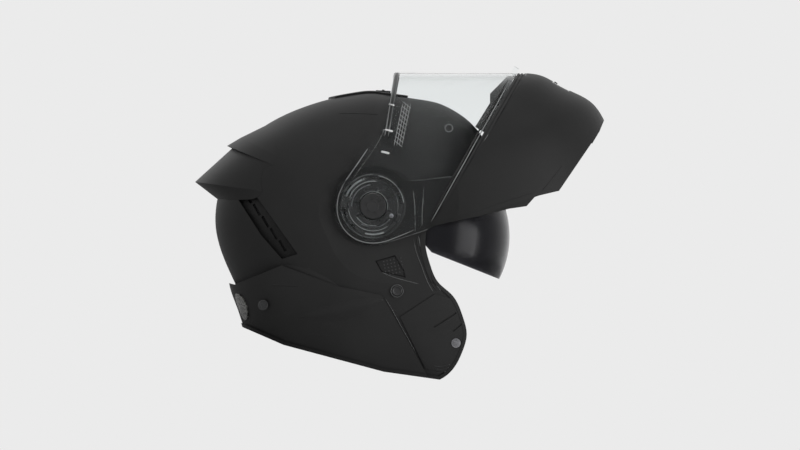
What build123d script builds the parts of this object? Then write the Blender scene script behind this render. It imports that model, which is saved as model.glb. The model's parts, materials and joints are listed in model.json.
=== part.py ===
from build123d import *
import math
import os

# Modular motorcycle helmet, chin bar raised, clear visor shut on the chin bar, sun visor lowered.
# +X is the way the wearer faces, +Y is the wearer's left and +Z is up.
# The helmet stands on the flat stretch of its rim trim at z = 0.
# Chin bar and clear visor turn about one hinge axis, parallel to Y.
# Every curved wall is a form about that axis: a side profile, drawn in on both sides.

# Whole helmet
reach = 110.0
hinge_height = 149.49
hinge_x = -12.0
raise_angle = 74.0
overrun = 60.0
fit = 0.3
seat = 0.1

# Shell
shell_half_width = 121.0
shell_wall = 4.0
flank_half_width = 120.8
eye_port_lip = 2.2

# Outer face that the chin bar and the clear visor share
face_half_width = 128.0
visor_wall = 2.2
arm_depth = 2.6
arm_wall = 1.9
hub_wall = 2.9
hub_rim = 2.4
chin_wall = 3.2

# Pads and foam
foam_gap = 0.4
cavity_half_width = 84.0
lining_wall = 8.0
cheek_inside = 56.0
roll_radius = 9.0

# Rim trim and eye port gasket
trim_bulge = 1.2
trim_depth = 3.2
trim_inside = 1.4

# Pivot stack
mechanism_radius = 31.0
base_plate_radius = 35.0
base_plate_wall = 1.0
shaft_radius = 7.0
running_gap = 0.05
pocket_depth = 1.7
cap_radius = 12.5
cap_height = 2.6

# Sun visor
lens_x_share = 0.439
lens_z_share = -0.153
lens_radius = 87.5
lens_wall = 2.0
lens_half_width = 93.0
lens_pin_radius = 3.0
lens_boss_radius = 8.0
lens_gap = 1.3

# Small hardware
strap_rivet_radius = 6.2
strap_rivet_rise = 0.8
rear_rivet_radius = 5.0
rear_rivet_rise = 1.6
reflector_radius = 13.4
reflector_rise = 1.3
lock_pin_radius = 2.6
lock_pin_rise = 2.45
lock_dish_radius = 4.8
pinlock_radius = 4.6
pinlock_stem_radius = 2.4

# Chin strap
webbing_width = 24.0
webbing_wall = 2.2

# Share of a half width at which each form ends in a flat side cap
cap_share = 0.975
form_steps = 6
form_fullness = 2.6
flank_fullness = 3.0
cavity_fullness = 2.5

# Side profiles about the hinge axis: angle above forward, radius as a share of reach.
shell_shares = ((102, 0.975), (93, 0.973), (82, 1.003), (73, 1.05), (65, 1.08), (57, 1.104), (48, 1.117),
                (38, 1.118), (30, 1.113), (23, 1.11), (16, 1.14), (8, 1.20), (0, 1.283), (-8, 1.42),
                (-16.3, 1.636), (-21.4, 1.785), (-27, 1.92), (-33.8, 2.034), (-39, 2.074), (-46, 2.07),
                (-55, 2.03), (-66, 1.95), (-78, 1.85), (-90, 1.755), (-105, 1.61), (-121, 1.45),
                (-134, 1.37), (-149, 1.368), (-158, 1.37), (-169, 1.34), (-180, 1.295), (-188, 1.255),
                (-197, 1.195), (-208, 1.115), (-219.6, 1.045), (-232, 0.998), (-245, 0.977))
flank_shares = ((90, 0.95), (40, 1.05), (0, 1.3), (-20, 1.75), (-35, 2.07), (-46, 2.12), (-55, 2.08),
                (-66, 2.0), (-78, 1.9), (-90, 1.8), (-105, 1.68), (-113, 1.61), (-121, 1.54), (-127, 1.475),
                (-134, 1.43), (-142, 1.38), (-152, 1.365), (-170, 1.29), (-200, 1.1), (-235, 0.96))
face_shares = ((120, 1.06), (90, 1.05), (60, 1.07), (42, 1.1), (32, 1.125), (22, 1.163), (10, 1.231),
               (0, 1.34), (-8, 1.477), (-16.3, 1.693), (-21.4, 1.842), (-27, 1.935), (-33.8, 2.09),
               (-38.9, 2.13), (-46, 2.14), (-55, 2.145), (-66, 2.13), (-78, 2.08), (-90, 1.98), (-105, 1.82),
               (-121, 1.63), (-140, 1.46), (-160, 1.34), (-180, 1.22), (-210, 1.1))
cavity_shares = ((90, 0.655), (64, 0.655), (45, 0.71), (25, 0.76), (0, 0.84), (-30, 0.94), (-60, 1.12),
                 (-90, 1.2), (-120, 1.12), (-150, 1.02), (-180, 0.96), (-208, 0.83), (-240, 0.7))

# Outlines in the side view: x and z from the hinge axis, as shares of reach.
rim_shares = ((-1.9, -1.14), (-0.436, -1.359), (0.46, -1.359), (0.945, -1.3))
jaw_shares = ((0.945, -1.3), (1.028, -1.19), (1.073, -1.0), (1.07, -0.865), (0.999, -0.725),
              (0.858, -0.565), (0.712, -0.488), (0.605, -0.356), (0.53, -0.22), (0.5, -0.06), (0.515, 0.12),
              (0.59, 0.26), (0.74, 0.37), (1.018, 0.441))
far_shares = ((2.4, 0.75), (2.4, 2.4), (-1.9, 2.4))
flank_outline_shares = ((-2.2, -0.965), (-0.98, -0.965), (-0.63, -0.70), (-0.12, -0.747), (0.27, -0.724),
                        (0.69, -1.148), (1.0, -1.47), (1.0, -1.8), (-2.2, -1.8))
visor_front_shares = ((1.25, 0.505), (0.638, 0.264))
visor_rear_angle = 77.0
visor_low_shares = ((-0.073, -0.365), (0.113, -0.506), (1.63, -0.475), (2.2, -0.465))
visor_end_share = 0.345
chin_top_shares = ((0.125, -0.512), (1.63, -0.481), (2.4, -0.465))
chin_rear_shares = ((0.125, -0.54), (0.405, -0.83), (0.6, -1.0), (0.818, -1.185), (0.94, -1.31),
                    (1.56, -1.345), (1.66, -1.33), (2.4, -1.2))
arm_outline_shares = ((-0.257, -0.225), (0.073, -0.515), (0.13, -0.545), (0.4, -0.835), (0.585, -1.02),
                      (0.682, -1.138), (0.8, -1.16), (0.91, -1.09), (0.77, -0.68), (0.587, -0.46),
                      (0.381, -0.215), (0.344, -0.135), (0.3, 0.17))
seal_depth_share = 0.068
foam_outline_shares = ((-1.9, -0.75), (-0.95, -0.72), (-0.45, -0.42), (0.02, -0.40), (0.40, -0.36),
                       (0.46, -0.2), (0.42, -0.06), (0.435, 0.15), (0.51, 0.32), (0.68, 0.45), (2.4, 0.83),
                       (2.4, 2.4), (-2.4, 2.4), (-2.4, -0.8))
spoiler_shares = ((-0.93, 0.555), (-1.068, 0.438), (-1.255, 0.275), (-1.352, 0.175), (-1.305, 0.165),
                  (-1.538, -0.197), (-1.29, -0.3), (-1.1, -0.3), (-0.8, 0.3))


# More outlines and places in the side view, as shares of reach
exhaust_shares = ((-1.113, -0.084), (-0.523, -0.569), (-0.641, -0.645), (-0.869, -0.492), (-1.19, -0.2))
jaw_cover_shares = ((0.474, -0.865), (0.714, -0.596), (1.3, -0.6), (1.3, -1.2), (0.8, -1.24))
jaw_slot_shares = (((0.779, -0.873), (0.932, -0.706)), ((0.947, -0.864), (1.018, -0.764)))
trim_end_shares = ((0.79, -0.8), (0.64, -0.44), (0.9, -0.3), (2.0, -0.3), (2.0, -2.0), (-2.4, -2.0),
                   (-2.4, -0.8))
crown_pad_shares = ((0.6, 0.3), (2.0, 0.6), (2.0, 2.0), (-2.0, 2.0), (-2.0, -0.3), (-0.75, -0.3),
                    (-0.2, 0.1))
cheek_shares = ((-0.3, -0.4186), (0.02, -0.405), (0.4, -0.365), (0.5, -0.44), (0.6, -0.58), (0.78, -0.68),
                (0.9, -0.8), (0.94, -0.98), (0.9, -1.12), (0.8, -1.2), (0.55, -1.23), (-0.3, -1.23))
neck_roll_shares = ((-1.6, -0.756), (-0.955, -0.726), (-0.455, -0.426), (-0.304, -0.424), (-0.304, -1.2),
                    (-0.5, -1.24), (-1.6, -1.14))
jaw_pocket_shares = ((0.14, -0.454), (0.293, -0.36), (0.402, -0.465), (0.436, -0.527), (0.214, -0.533))
strap_rivet_place = (0.39, -0.655)
rear_rivet_place = (-0.696, -1.072)
reflector_place = (-0.866, -1.13)
reflector_facing = (-0.74, 0.37, -0.45)
lock_place = (0.999, -0.957)
pinlock_place = (0.915, -0.215)
lever_place = (-0.29, -1.2)
tab_place = (1.637, -0.449)
visor_far_share = (2.2, 0.9)
chin_floor_shares = ((1.1, -1.31), (1.56, -1.337), (1.66, -1.321), (2.4, -1.19), (2.4, -1.165), (1.66, -1.296),
                     (1.56, -1.312), (1.1, -1.285))
chin_foam_shares = ((0.93, -0.565), (2.4, -0.565), (2.4, -1.16), (1.66, -1.295), (1.56, -1.31), (1.13, -1.284),
                    (1.13, -1.15), (1.145, -1.0), (1.14, -0.86), (1.07, -0.7))
guard_shelf_shares = ((1.04, -0.424), (1.04, -0.404), (1.283, -0.408), (1.35, -0.368), (1.6, -0.432),
                      (2.4, -0.6), (2.4, -0.62), (1.6, -0.452), (1.35, -0.388), (1.283, -0.428))
guard_wall_shares = ((1.04, -0.56), (1.04, -0.404), (1.283, -0.408), (1.35, -0.368), (1.6, -0.432),
                     (2.4, -0.5), (2.4, -0.56))
lens_keep_shares = ((0.25, -0.216), (1.4, -0.349), (1.4, 1.0), (0.25, 1.0))
vent_plan_shares = ((0.3, 0.14), (0.2, 0.24), (-0.3, 0.2), (-0.36, 0), (-0.3, -0.2), (0.2, -0.24),
                    (0.3, -0.14))
button_place = (1.5, -1.345)
chin_vent_place = (1.78, -0.86)
seal_groove_shares = (0.016, 0.042)
seal_groove_share = 0.01
seal_start_share = 0.3
strap_drop_shares = (-0.60, -0.8, -1.0, -1.15, -1.27)
vent_slot_shift_share = 0.045

# Spoiler, vents and rivets
spoiler_half_width = 98.0
spoiler_steps = 6
spoiler_fullness = 2.2
vent_sink = 3.6
vent_wall = 1.6
vent_slot_count = 5
vent_slot_length = 12.0
vent_slot_width = 2.4
vent_slot_turn = 45
vent_x = -28.0
vent_rise = 2.0
vent_corner = 6.0
vent_hole_length = 26.0
vent_hole_width = 7.0
vent_hole_spread = 13.0
slider_length = 14.0
slider_width = 12.0
slider_height = 1.8
slider_rise = 0.8
slider_travel = 8.0
slider_grip_length = 2.4
slider_grip_height = 0.8
slider_grip_share = 0.7
slider_angle = 102
slider_gap = 0.3
rivet_stem_radius = 2.5
lock_dish_depth = 1.5
lock_collar_wall = 0.8
jaw_cover_wall = 1.0
jaw_slot_width = 1.6
jaw_pocket_depth = 1.4
gasket_depth = 5.0
gasket_bulge = 0.8
strap_room = 3.6

# Sun visor sweep
lens_fullness = 2.7
lens_low_angle = -34.0
lens_high_angle = 50.0
lens_travel = 50.0
lens_room_angle = 5.0
lens_pin_sink = 2.4
lens_pin_head_radius = 5.0
lens_pin_head_wall = 1.5
lever_length = 8.0
lever_width = 4.0
lever_rise = 2.5
lever_gap = 0.6
lever_depth = 9.0
lever_lift = 0.0
lever_thumb_width = 4.0
lever_travel = 18.0

# Strap and buckle
strap_lift = 2.0
strap_bend = 12.0
strap_steps = 12
buckle_length = 44.0
buckle_wall = 3.0
buckle_height = 8.0
buckle_floor = 3.0
buckle_lever_length = 26.0

# Pivot details
cap_petal_count = 6
cap_petal_ring = 7.5
cap_petal_radius = 1.9
ratchet_floor = 0.6
ring_inner_radius = 26.5
hub_radius = 13.5
tooth_count = 9
tooth_start = 20
tooth_pitch = 11
tooth_radius = 1.6
spring_radius = 20.0
spring_wall = 1.0
spring_starts = (110, 250)
spring_span = 90

# Latch claws: shares of the distance from the lock pin to the claw's stub, along and across
claw_shares = ((1.0, 0.38), (0.3, 0.6), (-0.35, 0.62), (-0.6, 0.4), (-0.58, -0.15), (-0.27, -0.15),
               (-0.27, 0.29), (0.45, 0.29), (0.75, -0.3), (1.0, -0.38))
claw_reach = 12.0
claw_wall = 1.4
claw_gap = 0.3
claw_eye_radius = 4.4
claw_stub_radius = 1.8
claw_turn = 22.0

# Chin bar details
chin_slider_length = 12.0
chin_slider_width = 3.2
chin_slider_rise = 1.2
chin_slider_height_share = 0.33
chin_slider_travel = 12.0
chin_floor_width = 30.0
chin_foam_wall = 20.0
guard_depth = 27.0
guard_wall = 2.0
seal_sink = 0.3
seal_groove_depth = 1.2
button_length = 14.0
button_width = 34.0
button_height = 7.0
button_travel = 3.5
chin_vent_width = 56.0
chin_vent_height = 18.0
chin_vent_sink = 0.6
chin_vent_slots = 8
chin_vent_slot_width = 3.6
chin_vent_slot_share = 0.5
chin_vent_drop_share = 0.12
tab_length = 6.0
tab_width = 24.0
tab_height = 5.0
pinlock_rise = 1.0


# Helpers

def side_point(x_share, z_share):
    return Vector(hinge_x + reach * x_share, 0, hinge_height + reach * z_share)


def side_points(shares):
    return [side_point(x_share, z_share) for x_share, z_share in shares]


def hinge_axis():
    return Axis((hinge_x, 0, hinge_height), (0, 1, 0))


def raised(shape):
    return shape.rotate(hinge_axis(), -raise_angle)


def mirrored(shape):
    return mirror(shape, about=Plane.XZ)


def profile_wire(shares, inset, y, scale):
    points = []
    for angle, share in shares:
        radius = (reach * share - inset) * scale
        turn = math.radians(angle)
        points.append(Vector(hinge_x + radius * math.cos(turn), y, hinge_height + radius * math.sin(turn)))
    return Wire([Edge.make_spline(points, periodic=True)])


def form(shares, half_width, inset=0, fullness=form_fullness):
    """Solid whose side profile shrinks towards both flat side caps along a superellipse."""
    width = half_width - inset
    sections = []
    for step in range(-form_steps, form_steps + 1):
        y = width * cap_share * math.sin(math.pi / 2 * step / form_steps)
        scale = (1 - abs(y / width) ** fullness) ** (1 / fullness)
        sections.append(profile_wire(shares, inset, y, scale))
    return Solid.make_loft(sections)


def layer(shares, half_width, outer, inner, fullness=form_fullness):
    """Wall between two insets of the same form."""
    return form(shares, half_width, outer, fullness) - form(shares, half_width, inner, fullness)


def prism(face, low=-2 * reach, high=2 * reach):
    """Solid that a face in the side view sweeps from one y to another."""
    moved = Pos(0, low, 0) * face
    return extrude(moved, amount=high - low, dir=(0, 1, 0))


def outline(shares):
    points = side_points(shares)
    return make_face(Polyline(*points, close=True))


def side_disc(x_share, z_share, radius, low, high):
    centre = side_point(x_share, z_share)
    face = Plane((centre.X, low, centre.Z), x_dir=(1, 0, 0), z_dir=(0, 1, 0)) * Circle(radius)
    return extrude(face, amount=high - low, dir=(0, 1, 0))


def side_cap(half_width, inset=0):
    """Distance from the middle plane to the flat side cap of a form."""
    return (half_width - inset) * cap_share


# Outlines that several pieces share

def moved_points(points, amount):
    """Corner points of a closed outline, each moved out by an amount, square to its two sides."""
    moved = []
    for index, point in enumerate(points):
        before = (point - points[index - 1]).normalized()
        after = (points[(index + 1) % len(points)] - point).normalized()
        out_before = Vector(before.Z, 0, -before.X)
        out_after = Vector(after.Z, 0, -after.X)
        half = (out_before + out_after).normalized()
        moved.append(point + half * (amount / half.dot(out_after)))
    return moved


def shell_outline(grow=0):
    """Side view of the shell: rim, jaw front, rear edge of the eye port and brow, open above."""
    points = side_points((*rim_shares, *jaw_shares[1:], *far_shares))
    points = moved_points(points, grow)
    jaw_start = len(rim_shares) - 1
    jaw_end = jaw_start + len(jaw_shares)
    jaw = Spline(*points[jaw_start:jaw_end])
    rest = Polyline(*points[jaw_end - 1:], *points[:jaw_start + 1])
    return make_face([*rest.edges(), *jaw.edges()])


def flank_blank(inset=0):
    return form(flank_shares, flank_half_width, inset, flank_fullness)


def main_blank(inset=0):
    return form(shell_shares, shell_half_width, inset)


def face_blank(inset=0):
    return form(face_shares, face_half_width, inset)


def cavity_blank(inset=0):
    return form(cavity_shares, cavity_half_width, inset, cavity_fullness)


# Shell

def exhaust_outline(grow=0):
    face = outline(exhaust_shares)
    return offset(face, amount=grow) if grow else face


def share_at(shares, x_share, z_share):
    """Radius of a side profile, as a share of reach, in the direction of one point."""
    turn = math.degrees(math.atan2(z_share, x_share)) % 360
    known = sorted((angle % 360, share) for angle, share in shares)
    known = [(known[-1][0] - 360, known[-1][1]), *known, (known[0][0] + 360, known[0][1])]
    for (low, low_share), (high, high_share) in zip(known, known[1:]):
        if low <= turn <= high:
            return low_share + (high_share - low_share) * (turn - low) / (high - low)


def surface_y(shares, half_width, x_share, z_share, inset=0, fullness=form_fullness):
    """Distance of a form's face from the middle plane at one point of the side view."""
    radius = reach * share_at(shares, x_share, z_share) - inset
    ratio = reach * math.hypot(x_share, z_share) / radius
    return (half_width - inset) * (1 - ratio ** fullness) ** (1 / fullness)


def main_y(place, inset=0):
    return surface_y(shell_shares, shell_half_width, *place, inset)


def face_y(place, inset=0):
    return surface_y(face_shares, face_half_width, *place, inset)


def flank_y(place, inset=0):
    return surface_y(flank_shares, flank_half_width, *place, inset, flank_fullness)


def rivet(place, radius, blank, rise, stem_low, face):
    """Rivet whose thin head follows the wall that it holds; its stem passes through the wall."""
    head = (blank(-rise) - blank(-seat)) & side_disc(*place, radius, 0, 2 * reach)
    return head + side_disc(*place, rivet_stem_radius, stem_low, face + rise / 2)


def lever_run():
    """Start, direction and heading of the sun visor lever's travel along the left flank."""
    start = side_point(*lever_place) + Vector(0, flank_y(lever_place), 0)
    end_place = (lever_place[0] + lever_travel / reach, lever_place[1])
    end = side_point(*end_place) + Vector(0, flank_y(end_place), 0)
    way = (end - start).normalized()
    return start, way, math.degrees(math.atan2(way.Y, way.X))


def build_slot():
    start, way, heading = lever_run()
    length = lever_travel + lever_length + 2 * lever_gap
    bar = Box(length, overrun, lever_width + 2 * lever_gap)
    return Pos(*(start + way * (lever_travel / 2))) * Rot(0, 0, heading) * bar


def build_shell():
    flank = flank_blank() & prism(outline(flank_outline_shares))
    walls = (main_blank() + flank) - main_blank(shell_wall)
    shell = walls & prism(shell_outline(-eye_port_lip))
    shell -= prism(exhaust_outline())
    for place, radius in ((strap_rivet_place, rivet_stem_radius), (rear_rivet_place, rivet_stem_radius)):
        shell -= side_disc(*place, radius + seat, -2 * reach, 2 * reach)
    shell -= side_disc(*lock_place, lock_pin_radius + seat, -2 * reach, 2 * reach)
    dish_floor = main_y(lock_place) - lock_dish_depth
    dish = side_disc(*lock_place, lock_dish_radius, dish_floor, dish_floor + overrun)
    shell -= dish
    shell -= mirrored(dish)
    for side in (-1, 1):
        vent = Box(vent_hole_length, vent_hole_width, overrun)
        shell -= Pos(hinge_x + vent_x, side * vent_hole_spread, hinge_height + reach) * vent
    shell -= prism(outline(jaw_pocket_shares)) - main_blank(jaw_pocket_depth)
    return shell - build_slot()


def build_trim(shell):
    band = prism(shell_outline()) - prism(shell_outline(-trim_depth))
    flank = flank_blank(-trim_bulge) & prism(outline(flank_outline_shares))
    outer = main_blank(-trim_bulge) + flank
    below_port = prism(outline(trim_end_shares))
    return (((outer - main_blank(shell_wall + trim_inside)) & band) & below_port) - shell


def build_gasket(shell):
    """Rubber gasket round the eye port, from one jaw over the brow to the other."""
    band = prism(shell_outline()) - prism(shell_outline(-gasket_depth))
    ring = main_blank(-gasket_bulge) - main_blank(shell_wall)
    return ((ring & band) - prism(outline(trim_end_shares))) - shell


def build_spoiler():
    """Two fins across the back of the shell, one above the other, fading into both sides."""
    sections = []
    for step in range(-spoiler_steps, spoiler_steps + 1):
        y = spoiler_half_width * math.sin(math.pi / 2 * step / spoiler_steps)
        scale = (1 - (abs(y) / shell_half_width) ** form_fullness) ** (1 / form_fullness)
        fade = 1 - (abs(y) / spoiler_half_width) ** spoiler_fullness
        points = []
        for x_share, z_share in spoiler_shares:
            share = math.hypot(x_share, z_share)
            shell_share = share_at(shell_shares, x_share, z_share)
            kept = scale * (shell_share + (share - shell_share) * fade) / share
            points.append(side_point(x_share * kept, z_share * kept) + Vector(0, y, 0))
        sections.append(Wire(Polyline(*points, close=True).edges()))
    fins = Solid.make_loft(sections)
    return fins - main_blank(-seat)


def build_exhaust_vent():
    plate = layer(shell_shares, shell_half_width, vent_sink, vent_sink + vent_wall)
    half = prism(exhaust_outline(-fit), 0)
    vent = plate & half
    slots = []
    for index in range(vent_slot_count):
        share = (index + 1) / (vent_slot_count + 1)
        x_share = exhaust_shares[0][0] + (exhaust_shares[1][0] - exhaust_shares[0][0]) * share
        z_share = exhaust_shares[0][1] + (exhaust_shares[1][1] - exhaust_shares[0][1]) * share
        centre = side_point(x_share - vent_slot_shift_share, z_share - vent_slot_shift_share)
        bar = Rot(0, vent_slot_turn, 0) * Box(vent_slot_length, 2 * reach, vent_slot_width)
        slots.append(Pos(centre.X, reach, centre.Z) * bar)
    return vent - slots


def build_reflector():
    centre = side_point(*reflector_place) + Vector(0, flank_y(reflector_place), 0)
    plane = Plane(centre, z_dir=reflector_facing)
    plug = extrude(plane * Circle(reflector_radius), amount=reach / 2, both=True)
    return (flank_blank(-reflector_rise) - flank_blank(-seat)) & plug


def build_strap_rivet():
    inside = main_y(strap_rivet_place, shell_wall)
    return rivet(strap_rivet_place, strap_rivet_radius, main_blank, strap_rivet_rise, inside,
                 main_y(strap_rivet_place))


def build_rear_rivet():
    inside = main_y(rear_rivet_place, shell_wall)
    return rivet(rear_rivet_place, rear_rivet_radius, flank_blank, rear_rivet_rise, inside,
                 flank_y(rear_rivet_place))


def build_lock_pin():
    low = main_y(lock_place) - lock_dish_depth
    stem = side_disc(*lock_place, lock_pin_radius, low - shell_wall, low + overrun) & main_blank(-lock_pin_rise)
    collar = side_disc(*lock_place, lock_dish_radius - fit, low + seat, low + seat + lock_collar_wall)
    return stem + collar


def build_jaw_cover():
    plate = layer(shell_shares, shell_half_width, -jaw_cover_wall, -seat)
    shape = outline(jaw_cover_shares) & shell_outline(-trim_depth - fit)
    cover = plate & prism(shape, 0)
    cover -= side_disc(*lock_place, lock_dish_radius + fit, 0, 2 * reach)
    for start, end in jaw_slot_shares:
        a = side_point(*start)
        b = side_point(*end)
        turn = -math.degrees(math.atan2(b.Z - a.Z, b.X - a.X))
        middle = (a + b) / 2
        bar = Rot(0, turn, 0) * Box((b - a).length, 2 * reach, jaw_slot_width)
        cover -= Pos(middle.X, reach, middle.Z) * bar
    return cover


# Foam and pads

def lens_centre():
    return side_point(lens_x_share, lens_z_share)


def lens_profile(radius, half_width):
    """Half section of the sun visor's dome, out from its own pivot axis."""
    points = []
    for step in range(-form_steps, form_steps + 1):
        y = half_width * cap_share * math.sin(math.pi / 2 * step / form_steps)
        bow = radius * (1 - abs(y / half_width) ** lens_fullness) ** (1 / lens_fullness)
        points.append(lens_centre() + Vector(bow, y, 0))
    rim = Spline(*points)
    left = lens_centre() + Vector(0, points[-1].Y, 0)
    right = lens_centre() + Vector(0, points[0].Y, 0)
    sides = Polyline(points[-1], left, right, points[0])
    return make_face([rim, *sides.edges()])


def lens_dome(radius, half_width, low_angle, high_angle):
    axis = Axis(lens_centre(), (0, -1, 0))
    blank = revolve(lens_profile(radius, half_width), axis, high_angle - low_angle)
    return blank.rotate(axis, low_angle)


def build_lens():
    outer = lens_dome(lens_radius, lens_half_width, lens_low_angle, lens_high_angle)
    inner = lens_dome(lens_radius - lens_wall, lens_half_width - lens_wall, lens_low_angle - lens_gap,
                      lens_high_angle + lens_gap)
    lens = (outer - inner) & prism(outline(lens_keep_shares))
    low = (lens_half_width - lens_wall) * cap_share
    high = lens_half_width * cap_share
    boss = side_disc(lens_x_share, lens_z_share, lens_boss_radius, low, high)
    lens += boss
    lens += mirrored(boss)
    return lens - side_disc(lens_x_share, lens_z_share, lens_pin_radius + running_gap, -reach, reach)


def lens_pocket():
    """Room that the sun visor sweeps inside the foam, with its clearance."""
    outer = lens_dome(lens_radius + lens_gap, lens_half_width + lens_gap, lens_low_angle - lens_room_angle,
                      lens_high_angle + lens_travel + lens_gap)
    inner_radius = lens_radius - lens_wall - lens_gap
    inner = lens_dome(inner_radius, lens_half_width - lens_wall - lens_gap,
                      lens_low_angle - 2 * lens_room_angle, lens_high_angle + lens_travel + lens_room_angle)
    low = (lens_half_width - lens_wall - lens_gap) * cap_share
    high = (lens_half_width + lens_gap) * cap_share
    boss = side_disc(lens_x_share, lens_z_share, lens_boss_radius + lens_gap, low, high)
    return (outer - inner) + boss + mirrored(boss)


def build_lens_pin():
    """Stub axle of the sun visor, headed inside it and let into the foam outside it."""
    inside = (lens_half_width - lens_wall) * cap_share
    outside = lens_half_width * cap_share
    end = main_y((lens_x_share, lens_z_share), shell_wall) - lens_pin_sink
    stem = side_disc(lens_x_share, lens_z_share, lens_pin_radius, inside - fit, end)
    head = side_disc(lens_x_share, lens_z_share, lens_pin_head_radius, inside - fit - lens_pin_head_wall,
                     inside - fit)
    shoulder = side_disc(lens_x_share, lens_z_share, lens_pin_head_radius, outside + fit, end)
    return stem + head + shoulder


def build_foam():
    foam = (main_blank(shell_wall + foam_gap) - cavity_blank()) & prism(outline(foam_outline_shares))
    foam -= lens_pocket()
    vent = (main_blank(shell_wall) - main_blank(vent_sink + vent_wall + fit)) & prism(exhaust_outline(fit))
    foam -= vent
    pin = side_disc(lens_x_share, lens_z_share, lens_pin_head_radius + seat, 0, 2 * reach)
    foam -= pin
    foam -= mirrored(pin)
    return foam


def build_crown_pad():
    pad = cavity_blank(foam_gap) - cavity_blank(foam_gap + lining_wall)
    return pad & prism(outline(crown_pad_shares))


def build_cheek_pad():
    depth = shell_wall + trim_inside + webbing_wall + strap_room
    return main_blank(depth) & prism(outline(cheek_shares), cheek_inside)


def build_neck_roll():
    depth = shell_wall + trim_inside + fit
    roll = layer(shell_shares, shell_half_width, depth, depth + 2 * roll_radius)
    return roll & prism(outline(neck_roll_shares))


# Chin strap

def build_strap():
    """Webbing from the rivet, down behind the cheek pad and in under the chin to the buckle."""
    outer = []
    front_share = strap_rivet_place[0] + webbing_width / 2 / reach
    for z_share in strap_drop_shares:
        y = main_y((front_share, z_share), shell_wall + trim_inside) - fit - webbing_wall / 2
        outer.append(Vector(0, y, side_point(0, z_share).Z))
    floor = webbing_wall + strap_lift
    bend = Vector(0, outer[-1].Y - strap_bend, floor)
    inner_end = Vector(0, buckle_length / 2, floor)
    run = Spline(*outer, bend, inner_end, tangents=[(0, 0.1, -1), (0, -1, 0)])
    sides = []
    for way in (-1, 1):
        points = []
        for step in range(strap_steps + 1):
            along = run.tangent_at(step / strap_steps)
            across = Vector(0, -along.Z, along.Y) * (way * webbing_wall / 2)
            points.append(run.position_at(step / strap_steps) + across)
        sides.append(Spline(*points))
    ends = [Line(sides[0] @ share, sides[1] @ share) for share in (0, 1)]
    band = make_face([*sides, *ends])
    return extrude(Pos(side_point(*strap_rivet_place).X - webbing_width / 2, 0, 0) * band,
                   amount=webbing_width, dir=(1, 0, 0))


# Pivot stack

def stack_levels():
    shell_face = side_cap(shell_half_width)
    arm_in = side_cap(face_half_width, arm_depth + arm_wall)
    arm_out = side_cap(face_half_width, arm_depth)
    visor_in = side_cap(face_half_width, visor_wall)
    visor_out = side_cap(face_half_width)
    return shell_face, arm_in, arm_out, visor_in, visor_out


def build_base_plate():
    shell_face, arm_in, arm_out, visor_in, visor_out = stack_levels()
    plate = side_disc(0, 0, base_plate_radius, shell_face + seat, shell_face + seat + base_plate_wall)
    shaft = side_disc(0, 0, shaft_radius, shell_face + seat, visor_out + fit)
    return plate + shaft


def build_pivot_cap():
    shell_face, arm_in, arm_out, visor_in, visor_out = stack_levels()
    low = visor_out + fit
    cap = side_disc(0, 0, cap_radius, low, low + cap_height)
    rim = cap.faces().sort_by(Axis.Y)[-1].edges()
    cap = chamfer(rim, cap_height / 3)
    for index in range(cap_petal_count):
        turn = math.radians(360 * index / cap_petal_count)
        x_share = cap_petal_ring / reach * math.cos(turn)
        z_share = cap_petal_ring / reach * math.sin(turn)
        cap -= side_disc(x_share, z_share, cap_petal_radius, low + cap_height / 2, low + 2 * cap_height)
    return cap


def build_ratchet():
    """Detent plate of the clear visor in the arm's round pocket: toothed ring, hub and two springs."""
    shell_face, arm_in, arm_out, visor_in, visor_out = stack_levels()
    low = arm_out - pocket_depth + seat
    high = arm_out + seat
    plate = side_disc(0, 0, mechanism_radius, low, low + ratchet_floor)
    ring = side_disc(0, 0, mechanism_radius, low, high) - side_disc(0, 0, ring_inner_radius, low, high)
    hub = side_disc(0, 0, hub_radius, low, high)
    ratchet = plate + ring + hub
    for index in range(tooth_count):
        turn = math.radians(tooth_start + tooth_pitch * index)
        x_share = ring_inner_radius / reach * math.cos(turn)
        z_share = ring_inner_radius / reach * math.sin(turn)
        ratchet += side_disc(x_share, z_share, tooth_radius, low, high - seat)
    for start in spring_starts:
        path = Plane((hinge_x, low, hinge_height), x_dir=(1, 0, 0), z_dir=(0, -1, 0))
        arc = path * CenterArc((0, 0), spring_radius, start, spring_span)
        blade = make_face(offset(arc, amount=spring_wall))
        ratchet += extrude(blade, amount=high - seat - low, dir=(0, 1, 0))
    return ratchet - side_disc(0, 0, shaft_radius + running_gap, low - seat, high + seat)


# Chin bar, drawn shut and then raised

def chin_outline():
    """Side view of the chin bar's outer wall, below the strip that seals the clear visor."""
    top = [(x, z - seal_depth_share) for x, z in chin_top_shares[1:]]
    return outline((chin_top_shares[0], *top, *reversed(chin_rear_shares)))


def seal_band(high_share, low_share):
    """Side view of a band that runs along the chin bar's top edge, between two depths below it."""
    start, middle, end = chin_top_shares
    share = (seal_start_share - start[0]) / (middle[0] - start[0])
    first = (seal_start_share, start[1] + (middle[1] - start[1]) * share)
    high = [(x, z - high_share) for x, z in (first, middle, end)]
    low = [(x, z - low_share) for x, z in (end, middle, first)]
    return prism(outline((*high, *low)))


def seal_strip():
    """Side view of the seal, down to the panel's edge, which drops away from the chin bar's top edge."""
    start, middle, end = chin_top_shares
    share = (seal_start_share - start[0]) / (middle[0] - start[0])
    first = (seal_start_share, start[1] + (middle[1] - start[1]) * share)
    low = [(x, z - seal_depth_share + seat / reach) for x, z in (end, middle)]
    foot = (seal_start_share, first[1] - seal_depth_share * share + seat / reach)
    return prism(outline((first, middle, end, *low, foot)))


def arm_prism():
    ends = side_disc(0, 0, reach * visor_end_share, -2 * reach, 2 * reach)
    return prism(outline(arm_outline_shares)) + ends


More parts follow.
